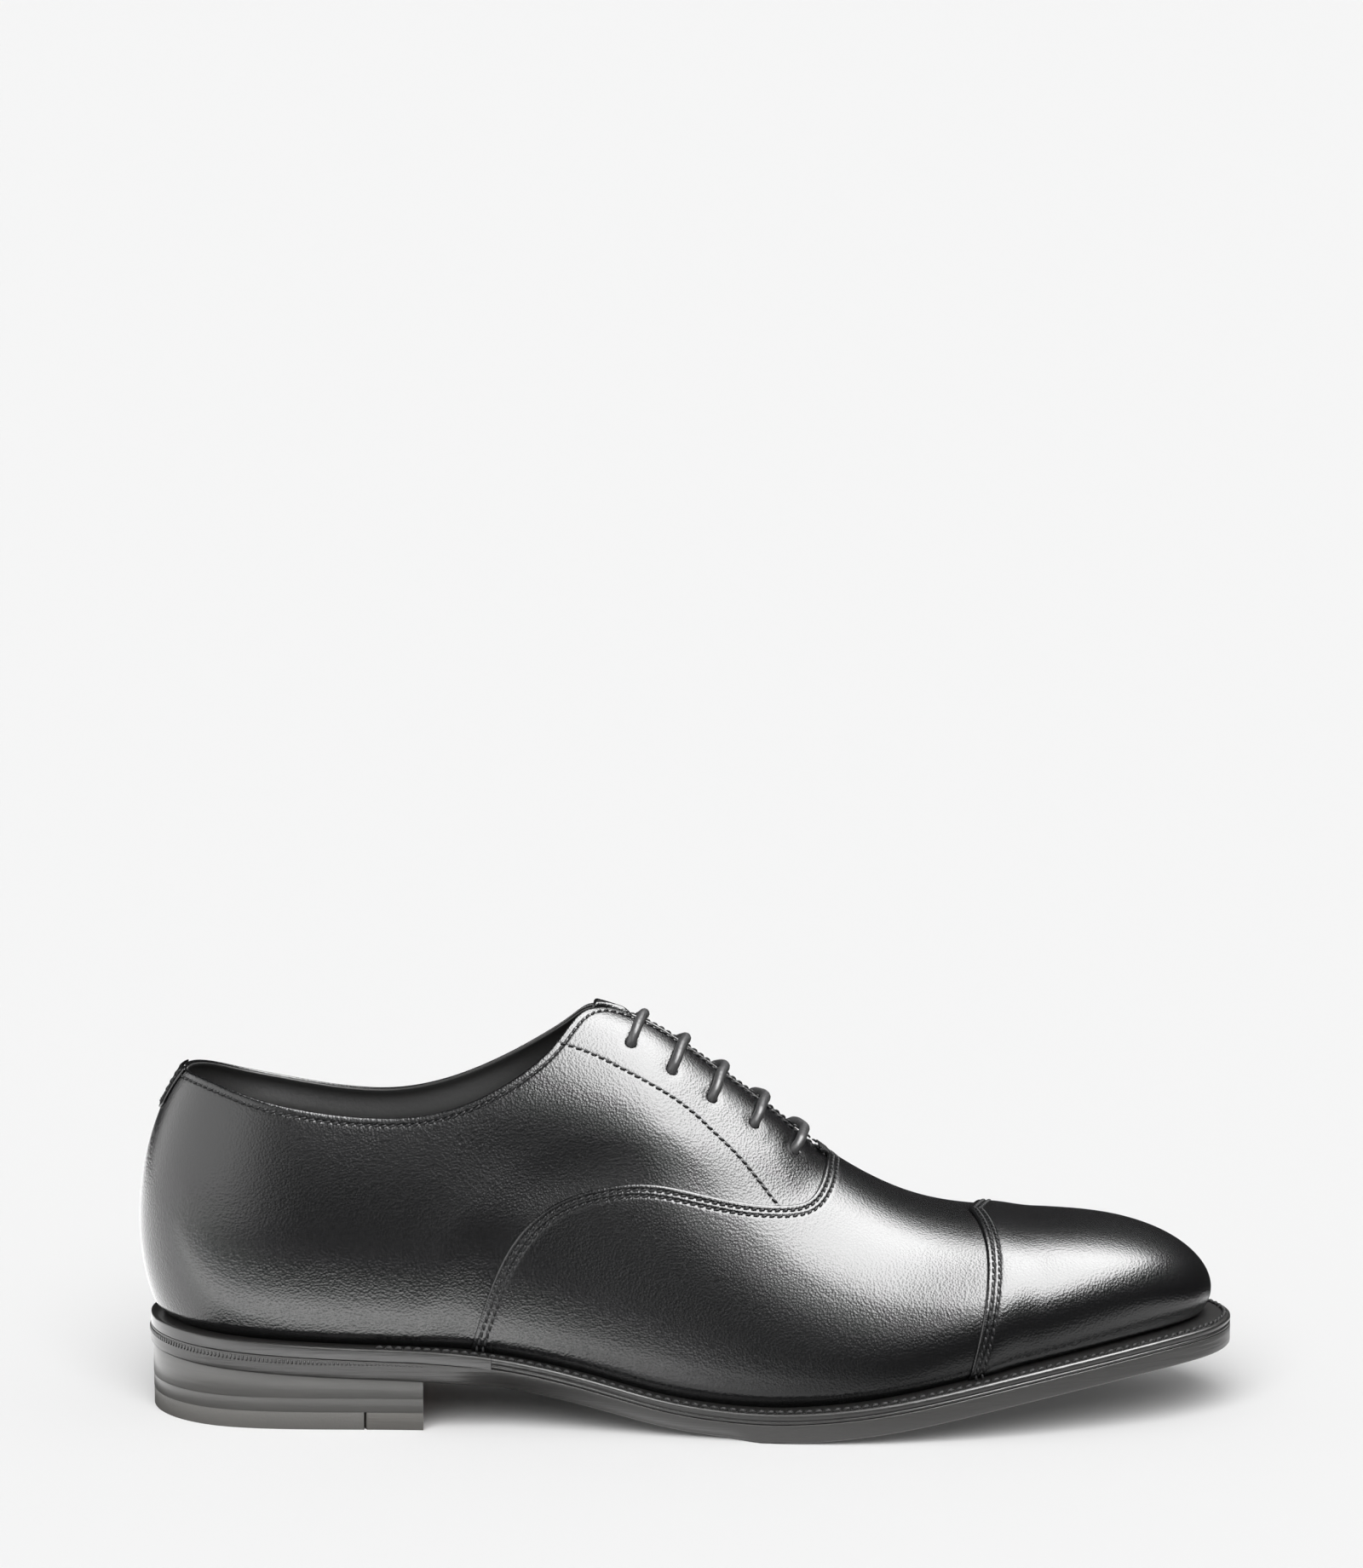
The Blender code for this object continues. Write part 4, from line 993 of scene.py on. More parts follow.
def build_eyelet(name, u, w, mat):
    """Blind eyelet: a small rolled ring on the inside of the facing."""
    centre = skin(u, w) - skin_normal(u, w) * (EYELET_DEPTH + 0.25)
    axis = skin_normal(u, w)
    first = unit(np.cross(axis, (1.0, 0, 0)))
    second = np.cross(axis, first)
    inner = HOLE_RADIUS + 0.25
    profile = [(inner, -0.25), (inner, 0.1), (inner + 0.15, 0.24), (EYELET_OUTER - 0.2, 0.25),
               (EYELET_OUTER, 0.1), (EYELET_OUTER, -0.1), (EYELET_OUTER - 0.2, -0.25)]
    sides = 36
    points, faces = [], []
    for k in range(sides):
        turn = 2 * math.pi * k / sides
        ray = first * math.cos(turn) + second * math.sin(turn)
        points += [centre + ray * r + axis * h for r, h in profile]
    size = len(profile)
    for k in range(sides):
        for i in range(size):
            a, b = k * size + i, k * size + (i + 1) % size
            c, d = (b + size) % (sides * size), (a + size) % (sides * size)
            faces.append((a, b, c, d))
    return facing_out(make_object(name, points, faces, mat, sharp=40))


# ------------------------------------------------------------------ bottom
def side_points(side, inset, count):
    """Outline of one side from the heel back to the toe tip, moved in; rows of (x, y)."""
    u = np.linspace(0, 1, count)
    amount = inset(u, side) if callable(inset) else np.full(count, float(inset))
    return sole_edge(u, side) - outward(u, side) * amount[:, None]


def feather_inset(more):
    return lambda u, side: (outer_handles if side < 0 else inner_handles)[0](u) + more


def outline_loop(inset, count=260):
    """Closed outline: outer side to the toe, inner side back to the heel."""
    outer = side_points(-1, inset, count)
    inner = side_points(1, inset, count)
    return np.concatenate([outer, inner[::-1][1:-1]])


def cut_side(side, inset, end_x, count):
    edge = side_points(side, inset, 2400)
    stop = int(np.argmax(edge[:, 0] > end_x))
    share = (end_x - edge[stop - 1, 0]) / (edge[stop, 0] - edge[stop - 1, 0])
    corner = edge[stop - 1] + (edge[stop] - edge[stop - 1]) * share
    edge = np.concatenate([edge[:stop], [corner]])
    return resample(edge, np.linspace(0, path_length(edge)[-1], count))


def heel_loop(inset, end_x, hollow=0.0, count=110):
    """Closed outline of the heel, cut by a hollow breast at end_x."""
    lateral = cut_side(-1, inset, end_x, count)
    medial = cut_side(1, inset, end_x, count)
    share = np.linspace(0, 1, 34)[1:-1]
    breast_y = lateral[-1, 1] + (medial[-1, 1] - lateral[-1, 1]) * share
    breast_x = end_x - hollow * (1 - (2 * share - 1) ** 2)
    breast = np.stack([breast_x, breast_y], axis=1)
    return np.concatenate([medial[::-1], lateral[1:], breast])


def raise_loop(loop, height):
    z = height(loop[:, 0]) if callable(height) else np.full(len(loop), float(height))
    return np.concatenate([loop, z[:, None]], axis=1)


def middle_line(loop, low_x, high_x):
    return np.stack([np.clip(loop[:, 0], low_x, high_x), np.zeros(len(loop))], axis=1)


def solid(name, loops, mat, sharp=32):
    """Closed piece through a stack of closed loops; the first and last are folded flat."""
    obj = make_object(name, np.concatenate(loops), ring_faces(len(loops), len(loops[0])), mat)

    def clean(bm):
        bmesh.ops.remove_doubles(bm, verts=bm.verts, dist=2e-6)
        bmesh.ops.dissolve_degenerate(bm, edges=bm.edges, dist=1e-7)
        bmesh.ops.recalc_face_normals(bm, faces=bm.faces)

    rework(obj, clean)
    obj.data.shade_smooth()
    obj.data.set_sharp_from_angle(angle=math.radians(sharp))
    return obj


def slab(name, loop_at, rings, top, bottom, ends, mat):
    """Flat piece: loop_at(inset) gives outlines and rings the (inset, height) edge profile."""
    def folded(inset, height, shares):
        outer = loop_at(inset)
        line = middle_line(outer, *ends)
        return [raise_loop(outer + (line - outer) * share, height) for share in shares]

    steps = np.linspace(0, 1, 6)
    loops = folded(rings[0][0], top, steps[:0:-1])
    loops += [raise_loop(loop_at(inset), height) for inset, height in rings]
    loops += folded(rings[-1][0], bottom, steps[1:])
    return solid(name, loops, mat)


def sole_top(x):
    return welt_top(x) - SOLE_TOP_REAR + (SOLE_TOP_REAR - SOLE_TOP_FORE) * smoothstep(x, 84, 100)


def sole_bottom(x):
    return welt_top(x) - SOLE_BOTTOM_REAR + (SOLE_BOTTOM_REAR - SOLE_BOTTOM_FORE) * smoothstep(x, 110, 160)


def waist_share(x):
    """How strongly the sole's edge is cut under: full at the waist, none at the forepart and heel."""
    return smoothstep(x, 84, 102) * (1 - smoothstep(x, 160, 171))


def build_outsole(mat):
    """The whole outsole; its edge is square at the forepart and bevelled under at the waist."""
    plain = outline_loop(0.0)
    x = plain[:, 0]
    waist = waist_share(x)[:, None] * WAIST_BEVEL
    middle = middle_line(plain, *SOLE_MIDDLE)
    inward = unit(outline_loop(1.0) - plain)
    top, bottom = sole_top(x), sole_bottom(x)
    wall = top - bottom - SOLE_TOP_SOFT - SOLE_BOTTOM_SOFT
    loops = []

    def add(flat, height):
        loops.append(np.concatenate([flat, height[:, None]], axis=1))

    for share in np.linspace(1, 0.05, 8):
        add(plain + (middle - plain) * share, top)
    for inset, down in ((1.4, 0.0), (0.25, 0.0), (0.1, 0.03), (0.03, 0.1), (0.0, SOLE_TOP_SOFT)):
        add(plain + inward * inset, top - down)
    for share in (0.25, 0.5, 0.75, 1.0):
        add(plain + inward * (waist * share ** 1.6), top - SOLE_TOP_SOFT - wall * share)
    for inset, up in ((0.1, 0.27), (0.32, 0.06), (0.7, 0.0), (1.6, 0.0)):
        add(plain + inward * (waist + inset), bottom + up)
    base = loops[-1][:, :2]
    for share in np.linspace(0, 1, 9)[1:]:
        add(base + (middle - base) * share, bottom)
    return solid("outsole_leather", loops, mat, sharp=60)


def swept(name, stations, mat):
    """Piece with the same closed profile at each station, capped at both ends."""
    count, size = stations.shape[:2]
    faces = ring_faces(count, size)
    faces.append(tuple(range(size)))
    faces.append(tuple((count - 1) * size + k for k in range(size))[::-1])
    obj = facing_out(make_object(name, stations.reshape(-1, 3), faces, mat))
    obj.data.set_sharp_from_angle(angle=math.radians(50))
    return obj


def edge_rail(first_x, heel=False):
    """(u, side) places along the outline from first_x: round the toe, or back round the heel."""
    u = np.linspace(0, 1, 4000)
    start = np.interp(first_x, edge_x(u), u)
    leg = np.linspace(start, 0, 130) if heel else np.linspace(start, 1, 330)
    sides = (1, -1) if heel else (-1, 1)
    return np.concatenate([leg, leg[::-1][1:]]), np.repeat(sides, (len(leg), len(leg) - 1))


WELT_PROFILE = (
    (0.72, 0.0), (0.48, -0.04), (0.24, -0.15), (0.07, -0.36), (0.0, -0.62), (0.0, -1.35), (0.16, -1.62),
    (0.42, -1.78), (0.42, -1.95), (0.16, -2.05), (0.03, -2.25), (0.03, -2.5), (0.2, -2.76), (0.5, -2.88),
)
RAND_PROFILE = (
    (0.7, 0.0), (0.42, -0.05), (0.18, -0.18), (0.04, -0.4), (0.0, -0.66), (0.0, -3.1), (0.01, -3.24),
    (0.06, -3.32), (0.16, -3.36),
)


def edge_strip(name, rail, profile, inner_more, mat):
    """Welt or rand: the edge profile outside, a flat back well inside the feather."""
    u, side = rail
    out = outward(u, side)
    edge = sole_edge(u, side)
    feather = np.where(side < 0, outer_handles[0](u), inner_handles[0](u))
    inner = feather + inner_more
    top = welt_top(edge[:, 0])
    rows = [(inner, 0.0), (feather * 0.5 + 0.36, 0.0)]
    rows += [(np.full(len(u), inset), height) for inset, height in profile]
    rows += [(inner, profile[-1][1])]
    stations = []
    for inset, height in rows:
        flat = edge - out * inset[:, None]
        stations.append(np.concatenate([flat, (top + height)[:, None]], axis=1))
    return swept(name, np.stack(stations, axis=1), mat)


def edge_path(u, side, inset, height):
    """Path on the welt at an inset from its edge, with upward normals."""
    flat = sole_edge(u, side) - outward(u, side) * np.reshape(inset, (-1, 1))
    points = np.concatenate([flat, (welt_top(flat[:, 0]) + height)[:, None]], axis=1)
    return points, np.tile((0.0, 0.0, 1.0), (len(points), 1))


def build_welt_stitching(thread):
    u, side = edge_rail(WELT_STITCH_X)
    row = edge_path(u, side, WELT_STITCH_IN, 0.0)
    return stitches("welt_stitching", [row], thread, pitch=WELT_STITCH_PITCH, radius=0.62, fill=0.92,
                    slant=0.16, lift=0.12, arch=0.36)


def build_wheeling(mat):
    """Fine upright marks pressed round the heel, just under the rand."""
    ticks = []
    u, side = edge_rail(WHEEL_X, heel=True)
    rail = edge_path(u, side, 0.0, 0.0)[0]
    places = np.arange(1.0, path_length(rail)[-1], WHEEL_PITCH)
    for row in resample(np.concatenate([rail, outward(u, side)], axis=1), places):
        x, y, z = row[:3]
        out = np.array([row[3], row[4], 0.0])
        base = np.array([x, y, 0.0])
        fade = 1 - 0.7 * smoothstep(x, 30, 74)
        high = z - WHEEL_DOWN
        low = high - WHEEL_HEIGHT * fade
        points = np.stack([base + (0, 0, high), base + (0, 0, low)]) - out * (WHEEL_SINK * (1 - fade))
        ticks.append((points, np.stack([out, out])))
    return stitches("heel_wheeling", ticks, mat, pitch=9, radius=0.34, fill=1.0, slant=0,
                    lift=0.04, arch=0.0)


def paint_breast(obj, mat):
    """Gives the faces that look forward at the breast their own finish."""
    obj.data.materials.append(mat)
    for face in obj.data.polygons:
        ahead = face.center.x > place((BREAST_X - BREAST_HOLLOW - 1.2, 0, 0))[0]
        if ahead and face.normal.x > 0.6:
            face.material_index = 1
    return obj


def build_heel(stack, rubber, leather, breast):
    made = {}

    def lift(name, inset, top, bottom, end_x, hollow, mat):
        """One layer with softened edges."""
        edge = ((FOLD_IN, 0.0), (LIFT_SOFT, 0.0), (LIFT_SOFT * 0.25, LIFT_SOFT * 0.3), (0.0, LIFT_SOFT))
        rings = [(inset + more, lower(top, down)) for more, down in edge]
        rings += [(inset + more, lower(bottom, -up)) for more, up in edge[::-1]]
        made[name] = slab(name, lambda more: heel_loop(more, end_x - (more - inset) * BREAST_LEAN, hollow),
                          rings, top, bottom, (24, end_x - 18), mat)

    lift("heel_wedge", WEDGE_IN, lower(sole_bottom, LIFT_GAP), WEDGE_LOW, BREAST_X, BREAST_HOLLOW, stack)
    lift("heel_stack_lift", LIFT_IN, WEDGE_LOW - LIFT_GAP, LIFT_LOW, BREAST_X, BREAST_HOLLOW, stack)
    lift("heel_rubber_tip", TIP_IN, LIFT_LOW - LIFT_GAP, 0.0, TIP_JOINT_X - LIFT_GAP / 2, 0.0, rubber)
    made["heel_leather_tip"] = build_front_tip(leather)
    for name in ("heel_wedge", "heel_stack_lift", "heel_leather_tip"):
        paint_breast(made[name], breast)
    return made


def build_front_tip(mat):
    """The leather front of the top piece, between the joint and the breast."""
    top, bottom = LIFT_LOW - LIFT_GAP, 0.0

    def ring(inset, height):
        loop = heel_loop(TIP_IN + inset, BREAST_X - inset * BREAST_LEAN, BREAST_HOLLOW)
        cut = np.maximum(loop[:, 0], TIP_JOINT_X + LIFT_GAP / 2 + inset * BREAST_LEAN)
        inner_edge = side_points(1, TIP_IN + inset, 900)[:400]
        limit = np.interp(TIP_JOINT_X, inner_edge[:, 0], inner_edge[:, 1])
        y = np.where(loop[:, 0] < cut, np.clip(loop[:, 1], -limit, limit), loop[:, 1])
        return raise_loop(np.stack([cut, y], axis=1), height)

    edge = ((FOLD_IN, 0.0), (TIP_SOFT, 0.0), (TIP_SOFT * 0.3, TIP_SOFT * 0.3), (0.0, TIP_SOFT))
    rings = [ring(inset, top - down) for inset, down in edge]
    rings += [ring(inset, bottom + up) for inset, up in edge[::-1]]
    line = rings[0].copy()
    line[:, 0] = np.clip(line[:, 0], *TIP_MIDDLE)
    low_line = line.copy()
    low_line[:, 2] = bottom
    return solid("heel_leather_tip", [line, *rings, low_line], mat)


def build_insole(board):
    inset = feather_inset(INSOLE_IN)
    heights = ((0.8, 3.1), (0.2, 2.95), (0.0, 2.6), (0.0, 0.8), (0.2, 0.45), (0.8, 0.3))
    rings = [(more, lifted(up)) for more, up in heights]
    return slab("insole_board", lambda more: outline_loop(lambda u, side: inset(u, side) + more, 150),
                rings, rings[0][1], rings[-1][1], INSOLE_MIDDLE, board)


def build_sock(mat):
    inset = feather_inset(SOCK_IN)
    heights = ((2.2, 4.25), (0.8, 4.18), (0.2, 3.95), (0.0, 3.6), (0.1, 3.25), (0.6, 3.13))
    rings = [(more, lifted(up)) for more, up in heights]
    return slab("sock_liner_leather",
                lambda more: heel_loop(lambda u, side: inset(u, side) + more, SOCK_END_X - more),
                rings, rings[0][1], rings[-1][1], SOCK_MIDDLE, mat)


def lifted(amount):
    return lambda x: welt_top(x) + amount


def lower(height, amount):
    """A height, level or given along x, moved down."""
    if callable(height):
        return lambda x: height(x) - amount
    return height - amount


# ------------------------------------------------------------------ materials
def grey(value):
    return (value, value, value, 1.0)


EVEN = (1.0, 1.0, 1.0)


class Nodes:
    """Short names for building a material's node tree."""

    def __init__(self, name, colour, roughness, metallic=0.0, coat=0.0, coat_roughness=0.1, specular=0.5):
        self.material = bpy.data.materials.new(name)
        self.material.use_nodes = True
        self.tree = self.material.node_tree
        self.shader = self.tree.nodes["Principled BSDF"]
        self.shader.inputs["Base Color"].default_value = colour
        self.shader.inputs["Roughness"].default_value = roughness
        self.shader.inputs["Metallic"].default_value = metallic
        self.shader.inputs["Coat Weight"].default_value = coat
        self.shader.inputs["Coat Roughness"].default_value = coat_roughness
        self.shader.inputs["Specular IOR Level"].default_value = specular
        self.material.diffuse_color = colour

    def add(self, kind, **inputs):
        node = self.tree.nodes.new(kind)
        for key, value in inputs.items():
            node.inputs[key].default_value = value
        return node

    def link(self, output, target):
        self.tree.links.new(output, target)

    def pattern(self, kind, stretch=EVEN, **inputs):
        """A texture over the object's own coordinates, stretched along the axes."""
        node = self.add(kind, **inputs)
        mapping = self.add("ShaderNodeMapping", Scale=stretch)
        self.link(self.add("ShaderNodeTexCoord").outputs["Object"], mapping.inputs["Vector"])
        self.link(mapping.outputs["Vector"], node.inputs["Vector"])
        return node

    def noise(self, scale, detail=2.0, stretch=EVEN):
        return self.pattern("ShaderNodeTexNoise", stretch, Scale=scale, Detail=detail).outputs["Fac"]

    def cells(self, scale):
        return self.pattern("ShaderNodeTexVoronoi", Scale=scale).outputs["Distance"]

    def math(self, operation, *values):
        node = self.tree.nodes.new("ShaderNodeMath")
        node.operation = operation
        for socket, value in zip(node.inputs, values):
            if isinstance(value, (int, float)):
                socket.default_value = value
            else:
                self.link(value, socket)
        return node.outputs[0]

    def value(self, name):
        node = self.tree.nodes.new("ShaderNodeAttribute")
        node.attribute_name = name
        return node.outputs["Fac"]

    def bump(self, height, distance):
        """Adds a bump of that depth in metres on top of the ones already there."""
        node = self.add("ShaderNodeBump", Strength=1.0, Distance=distance)
        self.link(height, node.inputs["Height"])
        socket = self.shader.inputs["Normal"]
        if socket.is_linked:
            self.link(socket.links[0].from_socket, node.inputs["Normal"])
        self.link(node.outputs["Normal"], socket)

    def colours(self, amount, dark, light):
        node = self.add("ShaderNodeMix")
        node.data_type = "RGBA"
        node.inputs["A"].default_value = dark
        node.inputs["B"].default_value = light
        self.link(amount, node.inputs["Factor"])
        self.link(node.outputs["Result"], self.shader.inputs["Base Color"])

    def groove(self, gap, row, width):
        """1 along a line at a distance row from a seam, falling off over width."""
        away = self.math("DIVIDE", self.math("SUBTRACT", gap, row), width)
        return self.math("EXPONENT", self.math("MULTIPLY", self.math("MULTIPLY", away, away), -1.0))


CALF = (0.0032, 0.0033, 0.0036, 1.0)


GROOVE_WIDTH = 0.35
GROOVE_DEPTH = 0.00012


def calf(name, rows=()):
    """Polished black calf; rows are its seam lines, each by attribute and distance in it."""
    made = Nodes(name, CALF, 0.27, coat=0.2, coat_roughness=0.16)
    made.bump(made.noise(75, 1.0), 0.00012)
    made.bump(made.cells(1500), 0.00007)
    made.bump(made.noise(3200, 2.0), 0.00001)
    for gap_name, row in rows:
        made.bump(made.groove(made.value(gap_name), row, GROOVE_WIDTH), -GROOVE_DEPTH)
    return made.material


EDGE_GRAIN = (0.12, 0.12, 3.0)     # grain that runs level along an edge
HEEL_GRAIN = (0.15, 0.15, 3.0)
STACK_DARK = (0.058, 0.057, 0.055, 1.0)
STACK_LIGHT = (0.086, 0.084, 0.080, 1.0)
CORK_DARK = (0.22, 0.13, 0.07, 1.0)
CORK_LIGHT = (0.45, 0.30, 0.17, 1.0)
WAXED = {"coat": 0.15, "coat_roughness": 0.25}

# key: name, colour, roughness, other shader values, then the bump's scale, detail, stretch and depth
FINISHES = {
    "thread": ("thread", (0.008, 0.008, 0.0085), 0.5, {"specular": 0.3}, 2600, 1.0, EVEN, 0.00005),
    "welt_thread": ("welt_thread", (0.013, 0.013, 0.013), 0.6, {"specular": 0.2}, 2200, 1.0, EVEN, 0.00008),
    "lining": ("lining_leather", (0.004, 0.0039, 0.0038), 0.5, {}, 900, 3.0, EVEN, 0.00004),
    "lace": ("waxed_lace", (0.045, 0.045, 0.046), 0.42, WAXED, 2400, 2.0, EVEN, 0.00006),
    "edge": ("sole_edge_ink", (0.02, 0.0195, 0.019), 0.33, {"coat": 0.3, "coat_roughness": 0.22},
             500, 3.0, EDGE_GRAIN, 0.00012),
    "sole": ("sole_leather", (0.034, 0.033, 0.032), 0.4, WAXED, 520, 3.0, EDGE_GRAIN, 0.00014),
    "stack": ("heel_stack", (0.046, 0.045, 0.043), 0.4, {"coat": 0.2, "coat_roughness": 0.3},
              420, 3.0, HEEL_GRAIN, 0.00004),
    "tip": ("heel_tip_leather", (0.100, 0.096, 0.089), 0.45, {}, 420, 3.0, HEEL_GRAIN, 0.0001),
    "breast": ("breast_leather", (0.22, 0.12, 0.08), 0.55, {}, 420, 3.0, (0.3, 0.3, 3.0), 0.00008),
    "rubber": ("rubber", (0.108, 0.105, 0.099), 0.48, {}, 1500, 3.0, EVEN, 0.00005),
    "brass": ("brass", (0.60, 0.42, 0.18), 0.3, {"metallic": 1.0}, 900, 2.0, EVEN, 0.00001),
    "steel": ("steel", (0.42, 0.42, 0.43), 0.35, {"metallic": 1.0}, 800, 2.0, EVEN, 0.00001),
    "board": ("insole_leather", (0.45, 0.28, 0.15), 0.65, {}, 700, 3.0, EVEN, 0.00005),
    "stiff": ("stiffener", (0.32, 0.25, 0.18), 0.75, {}, 600, 3.0, EVEN, 0.00005),
}


def make_materials():
    mats = {
        "vamp": calf("calf_vamp", [("seam_gap", row) for row in ROWS_IN]),
        "quarter": calf("calf_quarter", [("top_gap", TOPLINE_ROW), ("line_gap", 0.0)]),
        "calf": calf("calf_plain"),
    }
    for key, (name, colour, roughness, more, scale, detail, stretch, depth) in FINISHES.items():
        made = Nodes(name, (*colour, 1.0), roughness, **more)
        if key == "stack":
            made.colours(made.noise(300, 3.0, (0.2, 0.2, 2.5)), STACK_DARK, STACK_LIGHT)
        made.bump(made.noise(scale, detail, stretch), depth)
        mats[key] = made.material
    cork = Nodes("cork", (0.35, 0.22, 0.12, 1.0), 0.85)
    cells = cork.cells(900)
    cork.colours(cells, CORK_DARK, CORK_LIGHT)
    cork.bump(cells, 0.0002)
    mats["cork"] = cork.material
    return mats


# ------------------------------------------------------------------ stage
PANEL_STEPS = 16
FLOOR_Z = -0.00002
FLOOR_REACH = 30.0
FLOOR_PAINT = 0.84
OVERHEAD = ((-0.05, -1.3, 1.5), (1.75, -3.3, 1.5), (1.75, 1.25, 1.5), (-0.05, 1.25, 1.5))
FRONT = ((0.2, -2.35, 0.56), (0.85, -2.35, 0.92), (0.85, -1.95, 1.4), (0.2, -1.95, 1.4))
LEFT = ((-0.02, -2.0, 0.0), (-1.75, 1.6, 0.0), (-1.75, 1.6, 1.2), (-0.02, -2.0, 1.2))
BOUNCE_Z = 0.0003
BOUNCES = (                    # name, low and high x, low and high y, strength, soft shares
    ("bounce_near", (-0.6, 0.19, -0.15, -0.076), 6.5, ((0.05, 0.2), (0.35, 0.06))),
    ("bounce_far", (-1.2, 0.05, -0.9, -0.15), 0.12, ((0.05, 0.2), (0.2, 0.1))),
    ("bounce_back", (-0.9, -0.055, -0.076, 0.5), 2.6, ((0.1, 0.0), (0.0, 0.2))),
    ("bounce_right", (0.06, 0.36, -0.11, 0.1), 1.3, ((0.15, 0.1), (0.3, 0.2))),
)
WALL_CORNERS = ((-25.0, -25.0), (25.0, -25.0), (25.0, 25.0), (-25.0, 25.0))
WALL_HEIGHT = 15.0
WALL_GLOW = 0.913
KEY_SUN = 3.05
FILL_SUN = 1.1
WORLD_GREY = 0.03
CAMERA_PLACE = (0.1111, -1.5558, 0.4239)
CAMERA_TILT = 80.88
CAMERA_LENS = 131.48


def level_panel(low_x, high_x, low_y, high_y):
    """Corners of a panel that lies just above the floor."""
    flat = ((low_x, low_y), (high_x, low_y), (high_x, high_y), (low_x, high_y))
    return [(x, y, BOUNCE_Z) for x, y in flat]


def linked(name, data):
    obj = bpy.data.objects.new(name, data)
    bpy.context.scene.collection.objects.link(obj)
    return obj


def glow_finish(name, strength, fade):
    """Light whose strength falls off softly towards the panel's sides."""
    made = Nodes(name, grey(1.0), 1.0)
    out = made.tree.nodes["Material Output"]
    made.tree.nodes.remove(made.shader)
    split = made.add("ShaderNodeSeparateXYZ")
    made.link(made.add("ShaderNodeUVMap").outputs["UV"], split.inputs[0])
    glow = made.add("ShaderNodeEmission", Strength=strength)
    power = strength
    for axis, (start, end) in zip("XY", fade):
        for low, high, soft in ((0.0, start, start), (1.0, 1.0 - end, end)):
            if soft > 0:
                ramp = made.add("ShaderNodeMapRange", **{"From Min": low, "From Max": high})
                ramp.interpolation_type = "SMOOTHSTEP"
                made.link(split.outputs[axis], ramp.inputs["Value"])
                power = made.math("MULTIPLY", ramp.outputs["Result"], power)
                made.link(power, glow.inputs["Strength"])
    made.link(glow.outputs[0], out.inputs["Surface"])
    return made.material


def glow_panel(name, corners, strength, fade=((0, 0), (0, 0))):
    """Emissive panel that only shows in reflections; fade is the soft share of each side."""
    mesh = bpy.data.meshes.new(name)
    share = np.linspace(0, 1, PANEL_STEPS + 1)
    s, t = [grid[..., None] for grid in np.meshgrid(share, share, indexing="ij")]
    a, b, c, d = np.array(corners, float)
    points = (a * (1 - s) + b * s) * (1 - t) + (d * (1 - s) + c * s) * t
    mesh.from_pydata(points.reshape(-1, 3).tolist(), [], grid_quads(len(share), len(share)).tolist())
    layer = mesh.uv_layers.new(name="UVMap")
    flat = np.concatenate([s, t], axis=2).reshape(-1, 2)
    for loop, uv in zip(mesh.loops, layer.data):
        uv.uv = flat[loop.vertex_index]
    mesh.materials.append(glow_finish(name, strength, fade))
    obj = linked(name, mesh)
    obj.visible_camera = False
    obj.visible_diffuse = False
    obj.visible_shadow = False
    obj.visible_transmission = False
    return obj


def build_walls():
    """Pale walls far round the floor; they light nothing and show in no reflection."""
    walls = []
    for number, (a, b) in enumerate(zip(WALL_CORNERS, WALL_CORNERS[1:] + WALL_CORNERS[:1])):
        corners = ((*a, 0.0), (*b, 0.0), (*b, WALL_HEIGHT), (*a, WALL_HEIGHT))
        wall = glow_panel("wall_%d" % number, corners, WALL_GLOW)
        wall.visible_camera = True
        wall.visible_glossy = False
        walls.append(wall)
    return walls


def sun(name, energy, spread, lean_back, lean_side):
    """Soft daylight that doesn't show in reflections; angles in degrees."""
    lamp = bpy.data.lights.new(name, "SUN")
    lamp.energy = energy
    lamp.angle = math.radians(spread)
    obj = linked(name, lamp)
    obj.rotation_euler = (math.radians(lean_back), math.radians(lean_side), 0)
    obj.visible_glossy = False
    return obj


def build_floor():
    mesh = bpy.data.meshes.new("floor")
    reach = FLOOR_REACH
    corners = ((-reach, -reach), (reach, -reach), (reach, reach), (-reach, reach))
    mesh.from_pydata([(x, y, FLOOR_Z) for x, y in corners], [], [(0, 1, 2, 3)])
    mesh.materials.append(Nodes("paper", grey(FLOOR_PAINT), 0.9, specular=0.0).material)
    floor = linked("floor", mesh)
    floor.visible_glossy = False
    return floor


def build_stage():
    floor = build_floor()
    overhead = glow_panel("softbox_overhead", OVERHEAD, 18.0, ((0.28, 0.22), (0.12, 0.28)))
    front = glow_panel("softbox_front", FRONT, 4.0, ((0.25, 0.3), (0.35, 0.0)))
    side = glow_panel("softbox_left", LEFT, 2.4, ((0.4, 0.2), (0.0, 0.45)))
    low = [glow_panel(name, level_panel(*sides), strength, fade) for name, sides, strength, fade in BOUNCES]
    key = sun("sun_key", KEY_SUN, 58, 42, -6)
    fill = sun("sun_fill", FILL_SUN, 170, 8, 0)
    build_walls()
    world = bpy.data.worlds.new("studio")
    bpy.context.scene.world = world
    world.use_nodes = True
    world.node_tree.nodes["Background"].inputs["Color"].default_value = grey(WORLD_GREY)
    camera = bpy.data.cameras.new("camera")
    camera.lens = CAMERA_LENS
    camera.sensor_width = 36
    eye = linked("camera", camera)
    eye.location = CAMERA_PLACE
    eye.rotation_euler = (math.radians(CAMERA_TILT), 0, 0)
    bpy.context.scene.camera = eye
    bpy.context.scene.view_settings.view_transform = "Standard"


# ------------------------------------------------------------------ the shoe
def across_ball(obj, slot, *nodes):
    """A piece baked into the frame's own axes, with the CAD nodes that it replaces hidden."""
    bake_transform(obj)
    if nodes:
        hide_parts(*nodes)
    return obj


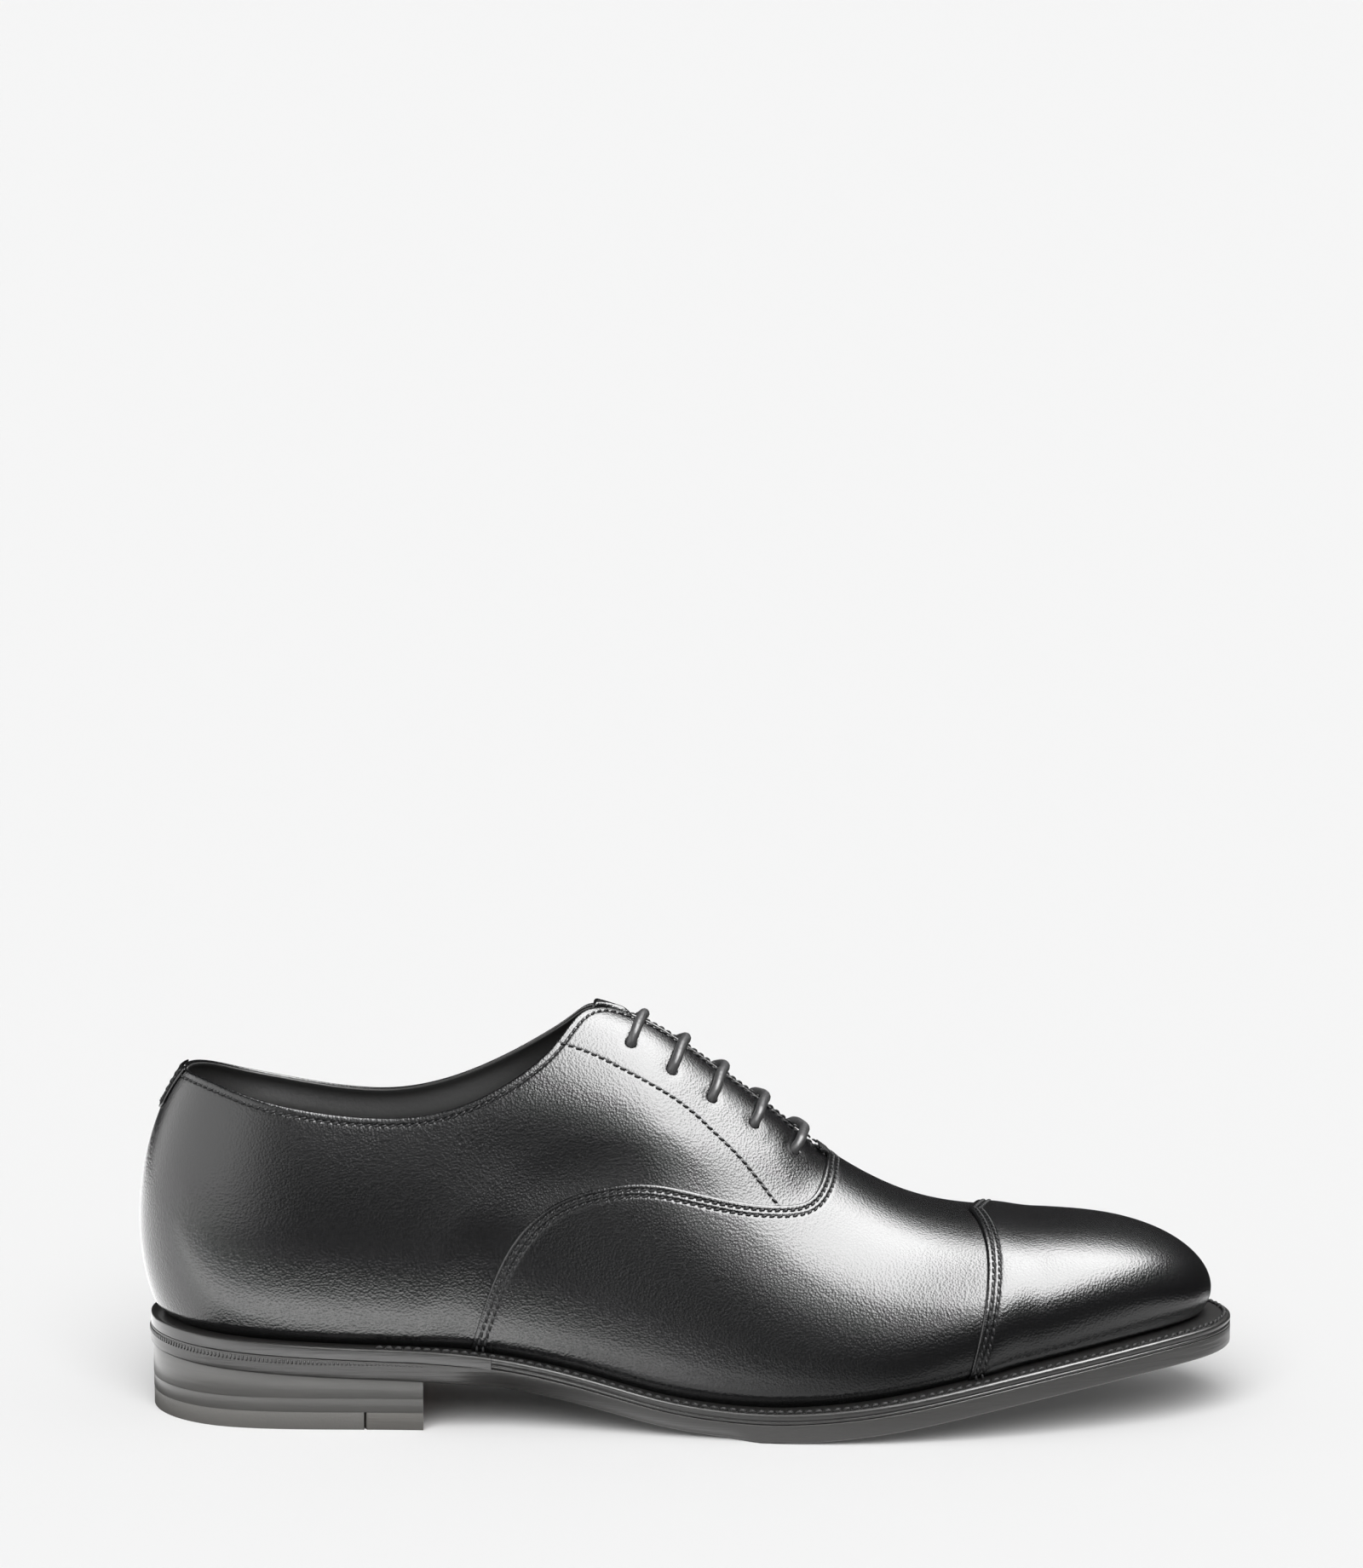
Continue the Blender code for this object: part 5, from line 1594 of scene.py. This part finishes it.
def fixed(obj, slot, *nodes, body="root"):
    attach(obj, body)
    if nodes:
        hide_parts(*nodes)
    return obj


def build_shoe():
    mats = make_materials()
    across_ball(build_vamp(mats["vamp"]), "upper_leather", "vamp")
    across_ball(build_cap(mats["vamp"]), "upper_leather", "toe_cap")
    across_ball(build_vamp_lining(mats["lining"]), "lining_leather", "vamp_lining")
    for side, word in ((-1, "lateral"), (1, "medial")):
        quarter = drop_loose(build_quarter(side, word, mats["quarter"]))
        across_ball(quarter, "upper_leather", "quarter_" + word)
        lining = drop_loose(build_quarter_lining(side, word, mats["lining"]))
        across_ball(lining, "lining_leather", "quarter_lining_" + word)
        for number, (u, v) in enumerate(EYELETS, 1):
            node = "eyelet_%s_%d" % (word, number)
            fixed(build_eyelet("ring_" + node, u, side_w(v, side), mats["brass"]), "brass", node)
    fixed(build_back_strip(mats["calf"]), "upper_leather", "back_strip")
    fixed(build_tongue(mats["calf"]), "upper_leather", "tongue", body="tongue")
    for seam in build_upper_seams(mats["thread"]):
        across_ball(seam, "upper_leather")
    across_ball(build_lace(mats["lace"]), "lace", "lace")
    across_ball(build_outsole(mats["sole"]), "sole_edge", "outsole_fore", "outsole_rear")
    rail = edge_rail(RAND_END_X + 0.1)
    welt = edge_strip("welt_leather", rail, WELT_PROFILE, 4.2, mats["edge"])
    across_ball(welt, "sole_edge", "welt_fore", "welt_waist_lateral", "welt_waist_medial")
    rail = edge_rail(RAND_END_X, heel=True)
    fixed(edge_strip("heel_rand_leather", rail, RAND_PROFILE, 6.0, mats["edge"]), "sole_edge", "heel_rand")
    across_ball(build_welt_stitching(mats["welt_thread"]), "sole_edge")
    fixed(build_wheeling(mats["edge"]), "sole_edge")
    heel = build_heel(mats["stack"], mats["rubber"], mats["tip"], mats["breast"])
    fixed(heel["heel_wedge"], "heel_stack", "heel_wedge_lift")
    fixed(heel["heel_stack_lift"], "heel_stack", "heel_lift")
    fixed(heel["heel_rubber_tip"], "rubber", "top_piece_rubber")
    fixed(heel["heel_leather_tip"], "heel_stack", "top_piece_leather")
    across_ball(build_insole(mats["board"]), "insole_leather", "insole_fore", "insole_rear")
    fixed(build_sock(mats["lining"]), "lining_leather", "sock_liner")
    paint_inside(mats)


INSIDE = (
    ("facing_stay", "stiff"), ("toe_puff", "stiff"), ("heel_counter", "stiff"), ("insole_rib", "board"),
    ("cork", "cork"), ("shank", "steel"), ("heel_nail", "steel"), ("lace_tip", "brass"),
    ("tongue_lining", "lining"),
)


def paint_inside(mats):
    """Finishes for the CAD pieces that stay as they are, inside the shoe."""
    for name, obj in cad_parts.items():
        for start, key in INSIDE:
            if name.startswith(start):
                obj.data.materials.clear()
                obj.data.materials.append(mats[key])


build_shoe()
build_stage()
